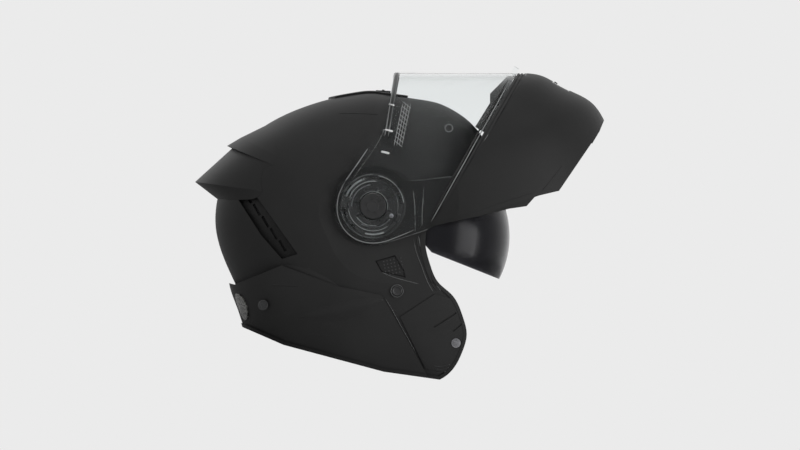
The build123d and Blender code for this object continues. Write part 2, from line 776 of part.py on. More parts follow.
def face_frame(place, depth):
    """Point of the chin bar's inner face on the left, and its outward direction, at one place."""
    step = fit / reach
    point = side_point(*place) + Vector(0, face_y(place, depth), 0)
    ahead = (place[0] + step, place[1])
    above = (place[0], place[1] + step)
    slope_x = (face_y(ahead, depth) - face_y(place, depth)) / fit
    slope_z = (face_y(above, depth) - face_y(place, depth)) / fit
    return point, Vector(-slope_x, 1, -slope_z).normalized()


def claw_place(along_share, across_share):
    """Side view place near the lock pin: along the chin bar's opening move there, and across it."""
    distance = math.hypot(*lock_place)
    out_x = lock_place[0] / distance
    out_z = lock_place[1] / distance
    along = along_share * claw_reach / reach
    across = across_share * claw_reach / reach
    return (lock_place[0] - out_z * along - out_x * across, lock_place[1] + out_x * along - out_z * across)


def claw_stub():
    """Fixed stub on the chin bar's inner face that a latch claw turns on."""
    point, out = face_frame(claw_place(1, 0), chin_wall)
    plane = Plane(point + out * claw_gap, z_dir=-out)
    return extrude(plane * Circle(claw_stub_radius), amount=claw_wall + 3 * claw_gap)


def build_claw():
    """Latch claw that hooks behind the lock pin once the chin bar is shut; it rests cocked back."""
    point, out = face_frame(claw_place(1, 0), chin_wall)
    shape = outline([claw_place(*shares) for shares in claw_shares])
    blade = prism(shape, 0) + side_disc(*claw_place(1, 0), claw_eye_radius, 0, 2 * reach)
    claw = layer(face_shares, face_half_width, chin_wall + claw_gap, chin_wall + claw_gap + claw_wall) & blade
    bore = Plane(point + out * claw_wall, z_dir=-out) * Circle(claw_stub_radius + running_gap)
    claw -= extrude(bore, amount=2 * (claw_wall + claw_wall))
    return claw.rotate(Axis(point, out), claw_turn)


def build_chin_shell():
    panel = layer(face_shares, face_half_width, 0, chin_wall) & prism(chin_outline())
    arms = layer(face_shares, face_half_width, arm_depth, arm_depth + arm_wall) & arm_prism()
    shell_face, arm_in, arm_out, visor_in, visor_out = stack_levels()
    hub = side_disc(0, 0, mechanism_radius + hub_rim, arm_out - hub_wall, arm_out)
    floor = layer(face_shares, face_half_width, chin_wall / 2, chin_floor_width)
    floor = floor & prism(outline(chin_floor_shares))
    chin = panel + arms + floor + hub + mirrored(hub)
    pocket = side_disc(0, 0, mechanism_radius + seat, arm_out - pocket_depth, arm_out + overrun)
    bore = side_disc(0, 0, shaft_radius + running_gap, -2 * reach, 2 * reach)
    chin = chin - pocket - mirrored(pocket) - bore
    stub = claw_stub()
    chin = chin + stub + mirrored(stub)
    chin -= button_block(fit)
    chin -= vent_window(0)
    return chin


def button_block(grow):
    centre = side_point(*button_place)
    block = Box(button_length + 2 * grow, button_width + 2 * grow, button_height)
    return Pos(centre.X, 0, centre.Z + button_height / 2) * block


def build_button():
    return button_block(0)


def vent_window(shrink):
    centre = side_point(*chin_vent_place)
    window = Box(overrun, chin_vent_width - 2 * shrink, chin_vent_height - 2 * shrink)
    return Pos(centre.X, 0, centre.Z) * window


def build_chin_vent_slider():
    """Thumb bar on the upper edge of the chin vent's grille."""
    centre = side_point(*chin_vent_place)
    height = centre.Z + chin_vent_height * chin_slider_height_share
    plate = layer(face_shares, face_half_width, chin_vent_sink - fit - chin_slider_rise, chin_vent_sink - fit)
    bar = Box(overrun, chin_slider_length, chin_slider_width)
    return plate & (Pos(centre.X, 0, height) * bar)


def build_chin_vent():
    plate = layer(face_shares, face_half_width, chin_vent_sink, chin_wall) & vent_window(seat)
    centre = side_point(*chin_vent_place)
    bars = []
    for index in range(chin_vent_slots):
        y = chin_vent_width * ((index + 0.5) / chin_vent_slots - 0.5)
        slot = Box(overrun, chin_vent_slot_width, chin_vent_height * chin_vent_slot_share)
        bars.append(Pos(centre.X, y, centre.Z - chin_vent_height * chin_vent_drop_share) * slot)
    return plate - bars


def build_seal():
    """Ribbed rubber strip along the chin bar's top edge, which the clear visor shuts on."""
    strip = layer(face_shares, face_half_width, seal_sink, arm_depth - seat) & seal_strip()
    for share in seal_groove_shares:
        groove = layer(face_shares, face_half_width, -seal_sink, seal_sink + seal_groove_depth)
        strip -= groove & seal_band(share, share + seal_groove_share)
    return strip


def build_chin_foam():
    foam = layer(face_shares, face_half_width, chin_wall + foam_gap, chin_wall + chin_foam_wall)
    foam = foam & prism(outline(chin_foam_shares))
    centre = side_point(*button_place)
    room = Box(button_length + 2 * button_travel, button_width + 2 * button_travel, overrun)
    return foam - Pos(centre.X, 0, centre.Z) * room


def build_breath_guard():
    """Breath guard: a wall behind the seal with a shelf that turns in over the wearer's mouth."""
    outer = chin_wall + foam_gap
    shelf = layer(face_shares, face_half_width, outer, guard_depth) & prism(outline(guard_shelf_shares))
    wall = layer(face_shares, face_half_width, outer, outer + guard_wall)
    return shelf + (wall & prism(outline(guard_wall_shares)))


# Clear visor, drawn shut with the chin bar and raised with it

def visor_prism():
    turn = math.radians(visor_rear_angle)
    tangent = (visor_end_share * math.cos(turn), visor_end_share * math.sin(turn))
    shape = outline((*visor_front_shares, tangent, *visor_low_shares, visor_far_share))
    ends = side_disc(0, 0, reach * visor_end_share, -2 * reach, 2 * reach)
    return prism(shape) + ends


def build_visor():
    visor = layer(face_shares, face_half_width, 0, visor_wall) & visor_prism()
    tab = side_point(*tab_place)
    block = Box(tab_length, tab_width, tab_height)
    lug = fillet(block.edges().filter_by(Axis.Z), tab_length / 3)
    visor += Pos(tab.X, 0, tab.Z) * lug
    visor -= side_disc(0, 0, shaft_radius + running_gap, -2 * reach, 2 * reach)
    return visor - side_disc(*pinlock_place, pinlock_stem_radius + seat, -2 * reach, 2 * reach)


def build_pinlock():
    outer = layer(face_shares, face_half_width, -pinlock_rise, -seat)
    inner = layer(face_shares, face_half_width, visor_wall + seat, visor_wall + pinlock_rise)
    middle = layer(face_shares, face_half_width, -pinlock_rise / 2, visor_wall + pinlock_rise / 2)
    head = side_disc(*pinlock_place, pinlock_radius, 0, 2 * reach)
    stem = side_disc(*pinlock_place, pinlock_stem_radius, 0, 2 * reach)
    return (outer & head) + (inner & head) + (middle & stem)


# Vent on the crown

def build_top_vent():
    plate = layer(shell_shares, shell_half_width, -vent_rise, -seat)
    centre = Pos(hinge_x + vent_x, 0, 0)
    shape = centre * make_face(Polyline(*[(reach * x, reach * y) for x, y in vent_plan_shares], close=True))
    block = extrude(fillet(shape.vertices(), vent_corner), amount=2 * hinge_height)
    base = plate & block
    for side in (-1, 1):
        slot = Box(vent_hole_length, vent_hole_width, overrun)
        base -= Pos(hinge_x + vent_x, side * vent_hole_spread, hinge_height + reach) * slot
    room = Box(slider_length + slider_travel + 2 * slider_gap, slider_width + 2 * slider_gap, overrun)
    floor = overrun / 2 - slider_height / 2 - slider_gap
    return base - slider_place() * Pos(0, 0, floor) * room


def slider_place():
    """Middle of the vent slider's travel, tilted with the crown."""
    turn = math.radians(slider_angle)
    crown = reach * share_at(shell_shares, math.cos(turn), math.sin(turn))
    radius = crown + vent_rise + slider_rise - slider_height / 2
    place = Pos(hinge_x + radius * math.cos(turn), 0, hinge_height + radius * math.sin(turn))
    return place * Rot(0, 90 - slider_angle, 0)


def build_vent_slider():
    body = Box(slider_length, slider_width, slider_height)
    body = fillet(body.edges().filter_by(Axis.Z), slider_height / 2)
    grip = Box(slider_grip_length, slider_width * slider_grip_share, slider_grip_height)
    body += Pos(0, 0, (slider_height + slider_grip_height) / 2) * grip
    return slider_place() * Pos(slider_travel / 2, 0, 0) * body


# Sun visor lever and chin strap buckle

def build_lever():
    """Thumb slider of the sun visor, with a wider foot inside the shell."""
    start, way, heading = lever_run()
    stem = Box(lever_length, lever_depth + lever_rise, lever_width)
    stem = Pos(0, (lever_rise - lever_depth) / 2, 0) * stem
    thumb = Box(lever_length, lever_rise - fit, lever_thumb_width)
    thumb = fillet(thumb.edges().filter_by(Axis.Y), lever_width / 4)
    thumb = Pos(0, fit + (lever_rise - fit) / 2 + lever_lift, 0) * thumb
    return Pos(*start) * Rot(0, 0, heading) * (stem + thumb)


def build_buckle():
    body = Box(webbing_width + 2 * buckle_wall, buckle_length, buckle_height)
    body = fillet(body.edges().filter_by(Axis.Z), buckle_wall)
    place = side_point(*strap_rivet_place).X
    body = Pos(place, 0, strap_lift + buckle_height / 2) * body
    room = Box(webbing_width, buckle_lever_length + 2 * fit, buckle_height)
    return body - Pos(place, 0, strap_lift + buckle_height / 2 + buckle_floor) * room


def build_buckle_lever():
    place = side_point(*strap_rivet_place).X
    height = buckle_height - buckle_floor - fit
    tongue = Box(webbing_width - 2 * fit, buckle_lever_length, height)
    pivot_end = tongue.faces().sort_by(Axis.Y)[0].edges().filter_by(Axis.X)
    tongue = fillet(pivot_end, height / 2 - seat)
    return Pos(place, 0, strap_lift + buckle_floor + fit + height / 2) * tongue


def export(name, shape):
    export_step(shape, f"parts/{name}.step")


def export_pair(name, left):
    export(f"{name}_left", left)
    export(f"{name}_right", mirrored(left))


def main():
    os.makedirs("parts", exist_ok=True)
    shell = build_shell()
    export("outer_shell", shell)
    export("rim_trim", build_trim(shell))
    export("eye_port_gasket", build_gasket(shell))
    export("rear_spoiler", build_spoiler())
    export("eps_liner", build_foam())
    export("crown_pad", build_crown_pad())
    export("neck_roll", build_neck_roll())
    export("top_vent_base", build_top_vent())
    export("top_vent_slider", build_vent_slider())
    export("sun_visor_lens", build_lens())
    export("sun_visor_lever", build_lever())
    export("buckle_body", build_buckle())
    export("buckle_lever", build_buckle_lever())
    export_pair("cheek_pad", build_cheek_pad())
    export_pair("chin_strap", build_strap())
    export_pair("strap_rivet", build_strap_rivet())
    export_pair("rear_rivet", build_rear_rivet())
    export_pair("rear_reflector", build_reflector())
    export_pair("lock_pin", build_lock_pin())
    export_pair("jaw_cover", build_jaw_cover())
    export_pair("exhaust_vent", build_exhaust_vent())
    export_pair("sun_visor_pin", build_lens_pin())
    export_pair("base_plate", build_base_plate())
    export_pair("pivot_cap", build_pivot_cap())
    export("chin_bar_shell", raised(build_chin_shell()))
    export("chin_bar_foam", raised(build_chin_foam()))
    export("breath_guard", raised(build_breath_guard()))
    export("visor_seal", raised(build_seal()))
    export("chin_vent_grille", raised(build_chin_vent()))
    export("chin_vent_slider", raised(build_chin_vent_slider()))
    export_pair("latch_claw", raised(build_claw()))
    export("release_button", raised(build_button()))
    export_pair("visor_ratchet", raised(build_ratchet()))
    export("clear_visor", raised(build_visor()))
    export_pair("pinlock_pin", raised(build_pinlock()))


if __name__ == "__main__":
    main()
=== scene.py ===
"""Looks of a modular helmet: its finishes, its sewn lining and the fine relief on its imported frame.

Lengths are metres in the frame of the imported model.
The shell's right side, at negative Y, faces the camera.
"""

from __future__ import annotations

import json
import logging
import math
from dataclasses import dataclass, field
from enum import Enum
from typing import NamedTuple, Sequence

import bpy
import numpy as np
from mathutils import Matrix, Vector

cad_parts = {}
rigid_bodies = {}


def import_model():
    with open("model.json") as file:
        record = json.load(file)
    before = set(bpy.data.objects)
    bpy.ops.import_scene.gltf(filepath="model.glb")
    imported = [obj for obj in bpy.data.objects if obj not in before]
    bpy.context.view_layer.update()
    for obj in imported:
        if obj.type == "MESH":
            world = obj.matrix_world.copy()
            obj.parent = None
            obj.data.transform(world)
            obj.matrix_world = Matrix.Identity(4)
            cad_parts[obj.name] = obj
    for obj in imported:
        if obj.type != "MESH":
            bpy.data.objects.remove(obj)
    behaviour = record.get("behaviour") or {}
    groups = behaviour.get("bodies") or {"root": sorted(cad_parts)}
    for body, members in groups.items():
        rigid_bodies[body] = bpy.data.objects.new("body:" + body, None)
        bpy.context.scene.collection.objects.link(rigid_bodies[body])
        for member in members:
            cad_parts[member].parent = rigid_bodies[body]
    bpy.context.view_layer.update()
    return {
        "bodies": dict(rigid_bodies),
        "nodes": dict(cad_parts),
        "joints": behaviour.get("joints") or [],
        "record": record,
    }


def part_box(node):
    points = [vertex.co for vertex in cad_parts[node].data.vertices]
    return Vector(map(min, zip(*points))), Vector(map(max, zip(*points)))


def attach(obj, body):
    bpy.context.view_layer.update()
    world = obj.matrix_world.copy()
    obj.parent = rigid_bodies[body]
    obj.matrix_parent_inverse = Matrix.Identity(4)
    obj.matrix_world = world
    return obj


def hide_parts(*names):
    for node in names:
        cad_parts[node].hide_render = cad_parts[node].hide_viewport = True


LOG = logging.getLogger("helmet")
Array = np.ndarray
Piece = bpy.types.Object
Socket = bpy.types.NodeSocket
Pair = tuple[float, float]
Pixels = Sequence[Pair]
FULL_TURN = 2 * math.pi
ALONG_X = np.array([1.0, 0.0, 0.0])


def tone(red: int, green: int, blue: int) -> tuple[float, ...]:
    """Turns a display colour from 0 to 255 into the linear colour that a shader takes.

    Args:
        red: Red as a screen shows it.
        green: Green as a screen shows it.
        blue: Blue as a screen shows it.

    Returns:
        The linear red, green and blue, and an alpha of 1.
    """
    knee, slope, lift, power = 0.04045, 12.92, 0.055, 2.4
    share = np.array([red, green, blue]) / 255.0
    curved = ((share + lift) / (1 + lift)) ** power
    return (*np.where(share <= knee, share / slope, curved).tolist(), 1.0)


class Side(Enum):
    """The two sides of the helmet, by the sign of Y."""

    RIGHT = -1
    LEFT = 1

    @property
    def word(self) -> str:
        """The side's name as the frame's nodes end in it."""
        return self.name.lower()

    @property
    def outward(self) -> Array:
        """The direction out from the middle plane."""
        return np.array([0.0, self.value, 0.0])


class Relief(Enum):
    """How a fine line stands on the surface that carries it."""

    GROOVE = "groove"
    BEAD = "bead"
    SWELL = "swell"


class Dress(NamedTuple):
    """What a new piece is entered with: the body it rides on, its finish and the record's slot."""

    body: str
    finish: str
    slot: str


class Bench:
    """A new material's node tree, with short calls that add the nodes feeding its shader."""

    def __init__(self, name: str) -> None:
        """Starts a material with one shader and the object's own coordinates.

        Args:
            name: The material's name.
        """
        self.material = bpy.data.materials.new(name)
        self.material.use_nodes = True
        self.tree = self.material.node_tree
        self.shader = next(n for n in self.tree.nodes if n.type == "BSDF_PRINCIPLED")
        self.place = self.node("ShaderNodeTexCoord").outputs["Object"]

    def node(self, kind: str, inputs: dict | None = None, **settings: object) -> bpy.types.Node:
        """Adds a node, sets its properties and fills its inputs.

        Args:
            kind: The node's type name.
            inputs: Input names or numbers, each with a value or with another node's output.
            **settings: Properties of the node and their values.

        Returns:
            The node.
        """
        made = self.tree.nodes.new(kind)
        for key, value in settings.items():
            setattr(made, key, value)
        for key, value in (inputs or {}).items():
            if isinstance(value, Socket):
                self.tree.links.new(value, made.inputs[key])
            else:
                made.inputs[key].default_value = value
        return made

    def stretch(self, scale: tuple[float, float, float], source: Socket | None = None) -> Socket:
        """Scales the given coordinates, or the object's own, along each axis."""
        inputs = {"Scale": scale, "Vector": source or self.place}
        return self.node("ShaderNodeMapping", inputs).outputs["Vector"]

    def noise(self, scale: float, detail: float, source: Socket | None = None) -> Socket:
        """Adds soft noise.

        Args:
            scale: Blotches per metre.
            detail: How many finer octaves it has.
            source: Coordinates, or None for the object's own.

        Returns:
            The noise, about 0 to 1.
        """
        inputs = {"Scale": scale, "Detail": detail, "Vector": source or self.place}
        return self.node("ShaderNodeTexNoise", inputs).outputs["Fac"]

    def cells(self, scale: float, feature: str) -> Socket:
        """Adds a cell pattern's distance, with its scale in cells per metre."""
        inputs = {"Scale": scale, "Vector": self.place}
        return self.node("ShaderNodeTexVoronoi", inputs, feature=feature).outputs["Distance"]

    def waves(self, source: Socket, direction: str, scale: float = 1.0, bend: float = 0.0) -> Socket:
        """Adds straight bands.

        Args:
            source: Coordinates.
            direction: The axis that the bands follow each other along.
            scale: How closely they follow.
            bend: How far they waver.

        Returns:
            The bands, 0 to 1.
        """
        inputs = {"Scale": scale, "Distortion": bend, "Detail": 2.0, "Vector": source}
        made = self.node("ShaderNodeTexWave", inputs, wave_type="BANDS", bands_direction=direction)
        return made.outputs["Fac"]

    def spread(self, source: Socket, low: float, high: float, start: float = 0.3, end: float = 0.7) -> Socket:
        """Carries a value from one range to another.

        Args:
            source: The value.
            low: Result at start.
            high: Result at end.
            start: Value that gives low.
            end: Value that gives high.

        Returns:
            The carried value.
        """
        inputs = {"From Min": start, "From Max": end, "To Min": low, "To Max": high, "Value": source}
        return self.node("ShaderNodeMapRange", inputs).outputs["Result"]

    def sum(self, first: Socket, second: Socket, share: float) -> Socket:
        """Adds a share of the second value to the first."""
        inputs = {0: second, 1: share, 2: first}
        return self.node("ShaderNodeMath", inputs, operation="MULTIPLY_ADD").outputs[0]

    def colour(self, factor: Socket, dark: tuple, light: tuple, start: float = 0.3, end: float = 0.7) -> None:
        """Colours the shader between two tones.

        Args:
            factor: The value that picks the tone.
            dark: The tone at start.
            light: The tone at end.
            start: Value that gives dark.
            end: Value that gives light.
        """
        ramp = self.node("ShaderNodeValToRGB", {"Fac": factor})
        for element, position, colour in zip(ramp.color_ramp.elements, (start, end), (dark, light)):
            element.position = position
            element.color = colour
        self.tree.links.new(ramp.outputs["Color"], self.shader.inputs["Base Color"])

    def rough(self, factor: Socket, low: float, high: float) -> None:
        """Varies the shader's roughness between two values."""
        self.tree.links.new(self.spread(factor, low, high), self.shader.inputs["Roughness"])

    def bump(self, height: Socket, depth: float) -> None:
        """Raises the shader's surface by a pattern, of which 1 stands depth metres high."""
        made = self.node("ShaderNodeBump", {"Distance": depth, "Strength": 1.0, "Height": height})
        self.tree.links.new(made.outputs["Normal"], self.shader.inputs["Normal"])

    def settle(self, **values: object) -> bpy.types.Material:
        """Sets even values on the shader's own sockets.

        Args:
            **values: Socket names with underscores for spaces.

        Returns:
            The material.
        """
        for name, value in values.items():
            self.shader.inputs[name.replace("_", " ")].default_value = value
        return self.material


@dataclass(frozen=True)
class Finish:
    """What every opaque finish has: its name and the two tones that its pattern runs between."""

    name: str
    dark: tuple
    light: tuple


@dataclass(frozen=True)
class MattPaint(Finish):
    """Matt lacquer over a moulded shell: slow tone drift, fine speckle and a faint orange peel."""

    low_rough: float = 0.46
    high_rough: float = 0.56
    drift_scale: float = 14.0
    cloud_scale: float = 160.0
    speckle_scale: float = 5200.0
    peel_scale: float = 900.0
    peel_depth: float = 0.00003

    def make(self) -> bpy.types.Material:
        """Builds the material."""
        bench = Bench(self.name)
        drift = bench.noise(self.drift_scale, detail=2.0)
        speckle = bench.noise(self.speckle_scale, detail=1.0)
        cloud = bench.noise(self.cloud_scale, detail=4.0)
        peel = bench.noise(self.peel_scale, detail=2.0)
        bench.colour(bench.sum(drift, speckle, share=0.35), self.dark, self.light, start=0.45, end=0.9)
        bench.rough(bench.sum(drift, cloud, share=0.6), self.low_rough, self.high_rough)
        bench.bump(bench.sum(peel, speckle, share=0.5), self.peel_depth)
        return bench.settle(Specular_IOR_Level=0.15)


@dataclass(frozen=True)
class MouldedPlastic(Finish):
    """Black moulded plastic with a spark-eroded grain and slightly shinier worn patches."""

    low_rough: float = 0.32
    high_rough: float = 0.52
    grain_scale: float = 2600.0
    grain_depth: float = 0.00004
    wear_scale: float = 38.0
    cloud_scale: float = 700.0

    def make(self) -> bpy.types.Material:
        """Builds the material."""
        bench = Bench(self.name)
        wear = bench.noise(self.wear_scale, detail=4.0)
        grain = bench.cells(self.grain_scale, "SMOOTH_F1")
        cloud = bench.noise(self.cloud_scale, detail=2.0)
        bench.colour(bench.sum(wear, grain, share=0.3), self.dark, self.light, start=0.35, end=0.8)
        bench.rough(wear, self.low_rough, self.high_rough)
        bench.bump(bench.sum(grain, cloud, share=0.4), self.grain_depth)
        return bench.settle(Specular_IOR_Level=0.5)


@dataclass(frozen=True)
class EdgeRubber(Finish):
    """Soft black rubber with a dry bloom that gathers in patches, and fine pores."""

    bloom_scale: float = 70.0
    pore_scale: float = 3800.0
    pore_depth: float = 0.00004

    def make(self) -> bpy.types.Material:
        """Builds the material."""
        bench = Bench(self.name)
        bloom = bench.noise(self.bloom_scale, detail=5.0)
        pores = bench.noise(self.pore_scale, detail=2.0)
        bench.colour(bench.sum(bloom, pores, share=0.25), self.dark, self.light, start=0.4, end=0.85)
        bench.rough(bloom, low=0.55, high=0.78)
        bench.bump(pores, self.pore_depth)
        return bench.settle(Specular_IOR_Level=0.35)


@dataclass(frozen=True)
class ClearWindow:
    """Polished polycarbonate that lets light through, with faint handling haze in its polish."""

    name: str
    tint: tuple
    index: float
    low_rough: float
    high_rough: float
    haze_scale: float = 30.0

    def make(self) -> bpy.types.Material:
        """Builds the material."""
        bench = Bench(self.name)
        bench.rough(bench.noise(self.haze_scale, detail=4.0), self.low_rough, self.high_rough)
        return bench.settle(Base_Color=self.tint, IOR=self.index, Transmission_Weight=1.0, Coat_Weight=0.0)


@dataclass(frozen=True)
class BrushedSteel(Finish):
    """Stainless steel, drawn in one direction, with small handling marks."""

    stretch: tuple[float, float, float] = (60.0, 60.0, 2400.0)
    mark_scale: float = 420.0
    drawn_depth: float = 0.00002

    def make(self) -> bpy.types.Material:
        """Builds the material."""
        bench = Bench(self.name)
        drawn = bench.noise(1.0, detail=3.0, source=bench.stretch(self.stretch))
        marks = bench.noise(self.mark_scale, detail=3.0)
        bench.colour(bench.sum(drawn, marks, share=0.4), self.dark, self.light, start=0.4, end=0.95)
        bench.rough(bench.sum(drawn, marks, share=0.5), low=0.2, high=0.4)
        bench.bump(drawn, self.drawn_depth)
        return bench.settle(Metallic=1.0)


@dataclass(frozen=True)
class PrismReflector(Finish):
    """A pale reflector whose back is moulded in small corner prisms under a clear face."""

    cell_scale: float = 380.0
    haze_scale: float = 300.0
    prism_depth: float = 0.0003

    def make(self) -> bpy.types.Material:
        """Builds the material."""
        bench = Bench(self.name)
        prisms = bench.cells(self.cell_scale, "F1")
        bench.colour(prisms, self.light, self.dark, start=0.15, end=0.75)
        bench.rough(bench.noise(self.haze_scale, detail=2.0), low=0.12, high=0.3)
        bench.bump(prisms, self.prism_depth)
        return bench.settle(Coat_Weight=0.7, Coat_Roughness=0.08)


@dataclass(frozen=True)
class BeadFoam(Finish):
    """Black expanded foam, with the domed beads of its skin pressed against each other."""

    bead_scale: float = 330.0
    haze_scale: float = 90.0
    bead_depth: float = 0.0005

    def make(self) -> bpy.types.Material:
        """Builds the material."""
        bench = Bench(self.name)
        beads = bench.cells(self.bead_scale, "DISTANCE_TO_EDGE")
        bench.colour(beads, self.dark, self.light, start=0.02, end=0.25)
        bench.rough(bench.noise(self.haze_scale, detail=3.0), low=0.62, high=0.8)
        bench.bump(bench.spread(beads, low=0.0, high=1.0, start=0.0, end=0.3), self.bead_depth)
        return bench.settle(Specular_IOR_Level=0.3)


@dataclass(frozen=True)
class LiningCloth(Finish):
    """Brushed knitted lining: rows of small loops, a soft nap and a sheen at grazing angles."""

    loops: float = 640.0
    sheen: float = 0.35
    nap_scale: float = 1500.0
    wear_scale: float = 35.0
    knit_depth: float = 0.00025

    def make(self) -> bpy.types.Material:
        """Builds the material."""
        bench = Bench(self.name)
        rows = bench.waves(bench.place, "Z", self.loops / 2, bend=1.6)
        nap = bench.noise(self.nap_scale, detail=4.0)
        wear = bench.noise(self.wear_scale, detail=3.0)
        knit = bench.sum(bench.sum(rows, bench.cells(self.loops, "F1"), share=0.8), nap, share=0.5)
        bench.colour(bench.sum(knit, wear, share=0.6), self.dark, self.light, start=0.4, end=1.6)
        bench.rough(nap, low=0.82, high=0.96)
        bench.bump(knit, self.knit_depth)
        return bench.settle(Sheen_Weight=self.sheen, Sheen_Roughness=0.4, Specular_IOR_Level=0.2)


@dataclass(frozen=True)
class StrapWebbing(Finish):
    """Flat woven strap: herringbone ribs that follow the strap's own length and width."""

    ribs_along: float = 150.0
    ribs_across: float = 26.0 / 6
    fibre_scale: float = 2600.0
    haze_scale: float = 60.0
    weave_depth: float = 0.0003

    def make(self) -> bpy.types.Material:
        """Builds the material. The pattern reads the strap's own map: metres along, share across."""
        bench = Bench(self.name)
        own = bench.node("ShaderNodeUVMap", uv_map="UVMap").outputs["UV"]
        ribs = bench.waves(bench.stretch((self.ribs_along, self.ribs_across, 1.0), own), "DIAGONAL")
        yarns = bench.waves(bench.stretch((self.ribs_along * 2, 1.0, 1.0), own), "X")
        weave = bench.sum(ribs, yarns, share=0.5)
        fibres = bench.noise(self.fibre_scale, detail=2.0)
        bench.colour(bench.sum(weave, fibres, share=0.4), self.dark, self.light, start=0.3, end=1.5)
        bench.rough(bench.noise(self.haze_scale, detail=3.0), low=0.6, high=0.8)
        bench.bump(weave, self.weave_depth)
        return bench.settle(Sheen_Weight=0.2, Sheen_Roughness=0.45)


@dataclass(frozen=True)
class StagePaper(Finish):
    """The pale floor: it keeps the object's shadow and has a very faint paper grain."""

    grain_scale: float = 3.0

    def make(self) -> bpy.types.Material:
        """Builds the material."""
        bench = Bench(self.name)
        bench.colour(bench.noise(self.grain_scale, detail=2.0), self.dark, self.light)
        return bench.settle(Roughness=0.9, Specular_IOR_Level=0.1)


@dataclass(frozen=True)
class EdgePlastic(MouldedPlastic):
    """A thin moulded edge with a finer grain, smooth enough to catch the light; in its pale tones its colour
    is a painted highlight.
    """

    grain_scale: float = 1200.0
    grain_depth: float = 0.00001


FINISHES = (
    MattPaint("shell_paint", tone(41, 41, 41), tone(49, 49, 49)),
    MattPaint("panel_paint", tone(32, 32, 32), tone(39, 39, 39), 0.42, 0.52),
    MouldedPlastic("satin_vent", tone(26, 26, 27), tone(34, 34, 35)),
    MouldedPlastic("black_plastic", tone(20, 20, 21), tone(32, 32, 33), 0.34, 0.5),
    MouldedPlastic("grey_plastic", tone(44, 45, 46), tone(60, 61, 62), 0.3, 0.46),
    EdgeRubber("edge_rubber", tone(22, 22, 22), tone(34, 34, 34)),
    EdgeRubber("seal_rubber", tone(26, 26, 26), tone(44, 44, 44), 110.0),
    # Near-black painted shade for the vent recesses and the jaw pocket.
    EdgeRubber("recess_dark", tone(12, 12, 12), tone(21, 21, 21), 60.0),
    ClearWindow("clear_window", tone(250, 252, 252), 1.07, 0.01, 0.03),
    # The next three finishes are painted highlights: pale lines, rings and glints on dark parts and on the
    # clear visor.
    EdgePlastic("bright_edge", tone(104, 106, 106), tone(150, 152, 152), 0.12, 0.25),
    EdgePlastic("glint", tone(196, 198, 198), tone(240, 240, 240), 0.1, 0.2),
    EdgePlastic("dull_edge", tone(56, 57, 57), tone(84, 85, 85), 0.2, 0.35),
    ClearWindow("frosted_edge", tone(120, 122, 122), 1.2, 0.3, 0.45),
    ClearWindow("smoke_window", tone(84, 84, 89), 1.22, 0.16, 0.24),
    EdgePlastic("detent_plastic", tone(14, 15, 15), tone(30, 30, 31), 0.24, 0.38, 3200.0),
    EdgeRubber("stitch_thread", tone(60, 60, 62), tone(92, 92, 94), 400.0),
    BrushedSteel("steel", tone(96, 96, 98), tone(164, 164, 168)),
    PrismReflector("prism_reflector", tone(40, 40, 39), tone(150, 150, 145)),
    BeadFoam("bead_foam", tone(18, 18, 19), tone(36, 36, 38)),
    LiningCloth("lining_cloth", tone(24, 24, 26), tone(58, 58, 62)),
    LiningCloth("neck_cloth", tone(20, 20, 21), tone(44, 44, 46), 900.0, 0.15),
    StrapWebbing("strap_webbing", tone(22, 22, 23), tone(52, 52, 54)),
)


class Finishes:
    """Every finish of the helmet, each made once and handed out by name."""

    def __init__(self) -> None:
        """Makes the materials."""
        self.materials = {plan.name: plan.make() for plan in FINISHES}

    def put(self, piece: Piece, name: str) -> None:
        """Gives a piece one finish in place of what it has."""
        piece.data.materials.clear()
        piece.data.materials.append(self.materials[name])


@dataclass(frozen=True)
class PhotoPlane:
    """Where a pixel of the side view lies in the helmet's middle plane."""

    scale: float = 0.00095
    hinge_u: float = 373.0
    hinge_v: float = 206.0
    hinge_x: float = -0.012
    hinge_z: float = 0.14949
    tilt: float = math.radians(15.0)

    def place(self, u: Array | float, v: Array | float) -> tuple[Array, Array]:
        """Turns pixels into X and Z: the offset from the hinge, turned by the view's roll and scaled.

        Args:
            u: Pixels from the left.
            v: Pixels from the top.

        Returns:
            X and Z.
        """
        right, down = np.asarray(u, float) - self.hinge_u, np.asarray(v, float) - self.hinge_v
        c, s = math.cos(self.tilt), math.sin(self.tilt)
        x, z = self.scale * (c * right + s * down), self.scale * (s * right - c * down)
        return self.hinge_x + x, self.hinge_z + z


def unit(rows: Array) -> Array:
    """Scales each row to length 1."""
    return rows / np.maximum(np.linalg.norm(rows, axis=-1, keepdims=True), 1e-12)


def around(count: int) -> Array:
    """Gives evenly spaced angles of one full turn."""
    return np.linspace(0, FULL_TURN, count, endpoint=False)


def reaches(points: Array) -> Array:
    """Gives the length of the run up to each of its points."""
    return np.concatenate(([0.0], np.cumsum(np.linalg.norm(np.diff(points, axis=0), axis=1))))


def eased(rows: Array, passes: int) -> Array:
    """Evens a run of rows: each becomes a quarter of its neighbours and half of itself, ends kept.

    Args:
        rows: The rows, in order.
        passes: How many times they are evened.

    Returns:
        The evened rows.
    """
    out = rows.copy()
    for _ in range(passes):
        out[1:-1] = (out[:-2] + 2 * out[1:-1] + out[2:]) / 4
    return out


def evenly(points: Array, count: int) -> Array:
    """Spaces points evenly along a smooth run: a cubic through the given ones, by their chord length.

    Args:
        points: The given points, in order.
        count: How many points come back.

    Returns:
        The evenly spaced points.
    """
    points = np.asarray(points, float)
    reach = reaches(points)
    slope = np.gradient(points, reach, axis=0)
    at = np.linspace(0, reach[-1], count)
    i = np.clip(np.searchsorted(reach, at, "right") - 1, 0, len(points) - 2)
    h = (reach[i + 1] - reach[i])[:, None]
    t = ((at - reach[i])[:, None]) / h
    return (
        (2 * t**3 - 3 * t**2 + 1) * points[i] + (t**3 - 2 * t**2 + t) * h * slope[i]
        + (3 * t**2 - 2 * t**3) * points[i + 1] + (t**3 - t**2) * h * slope[i + 1]
    )


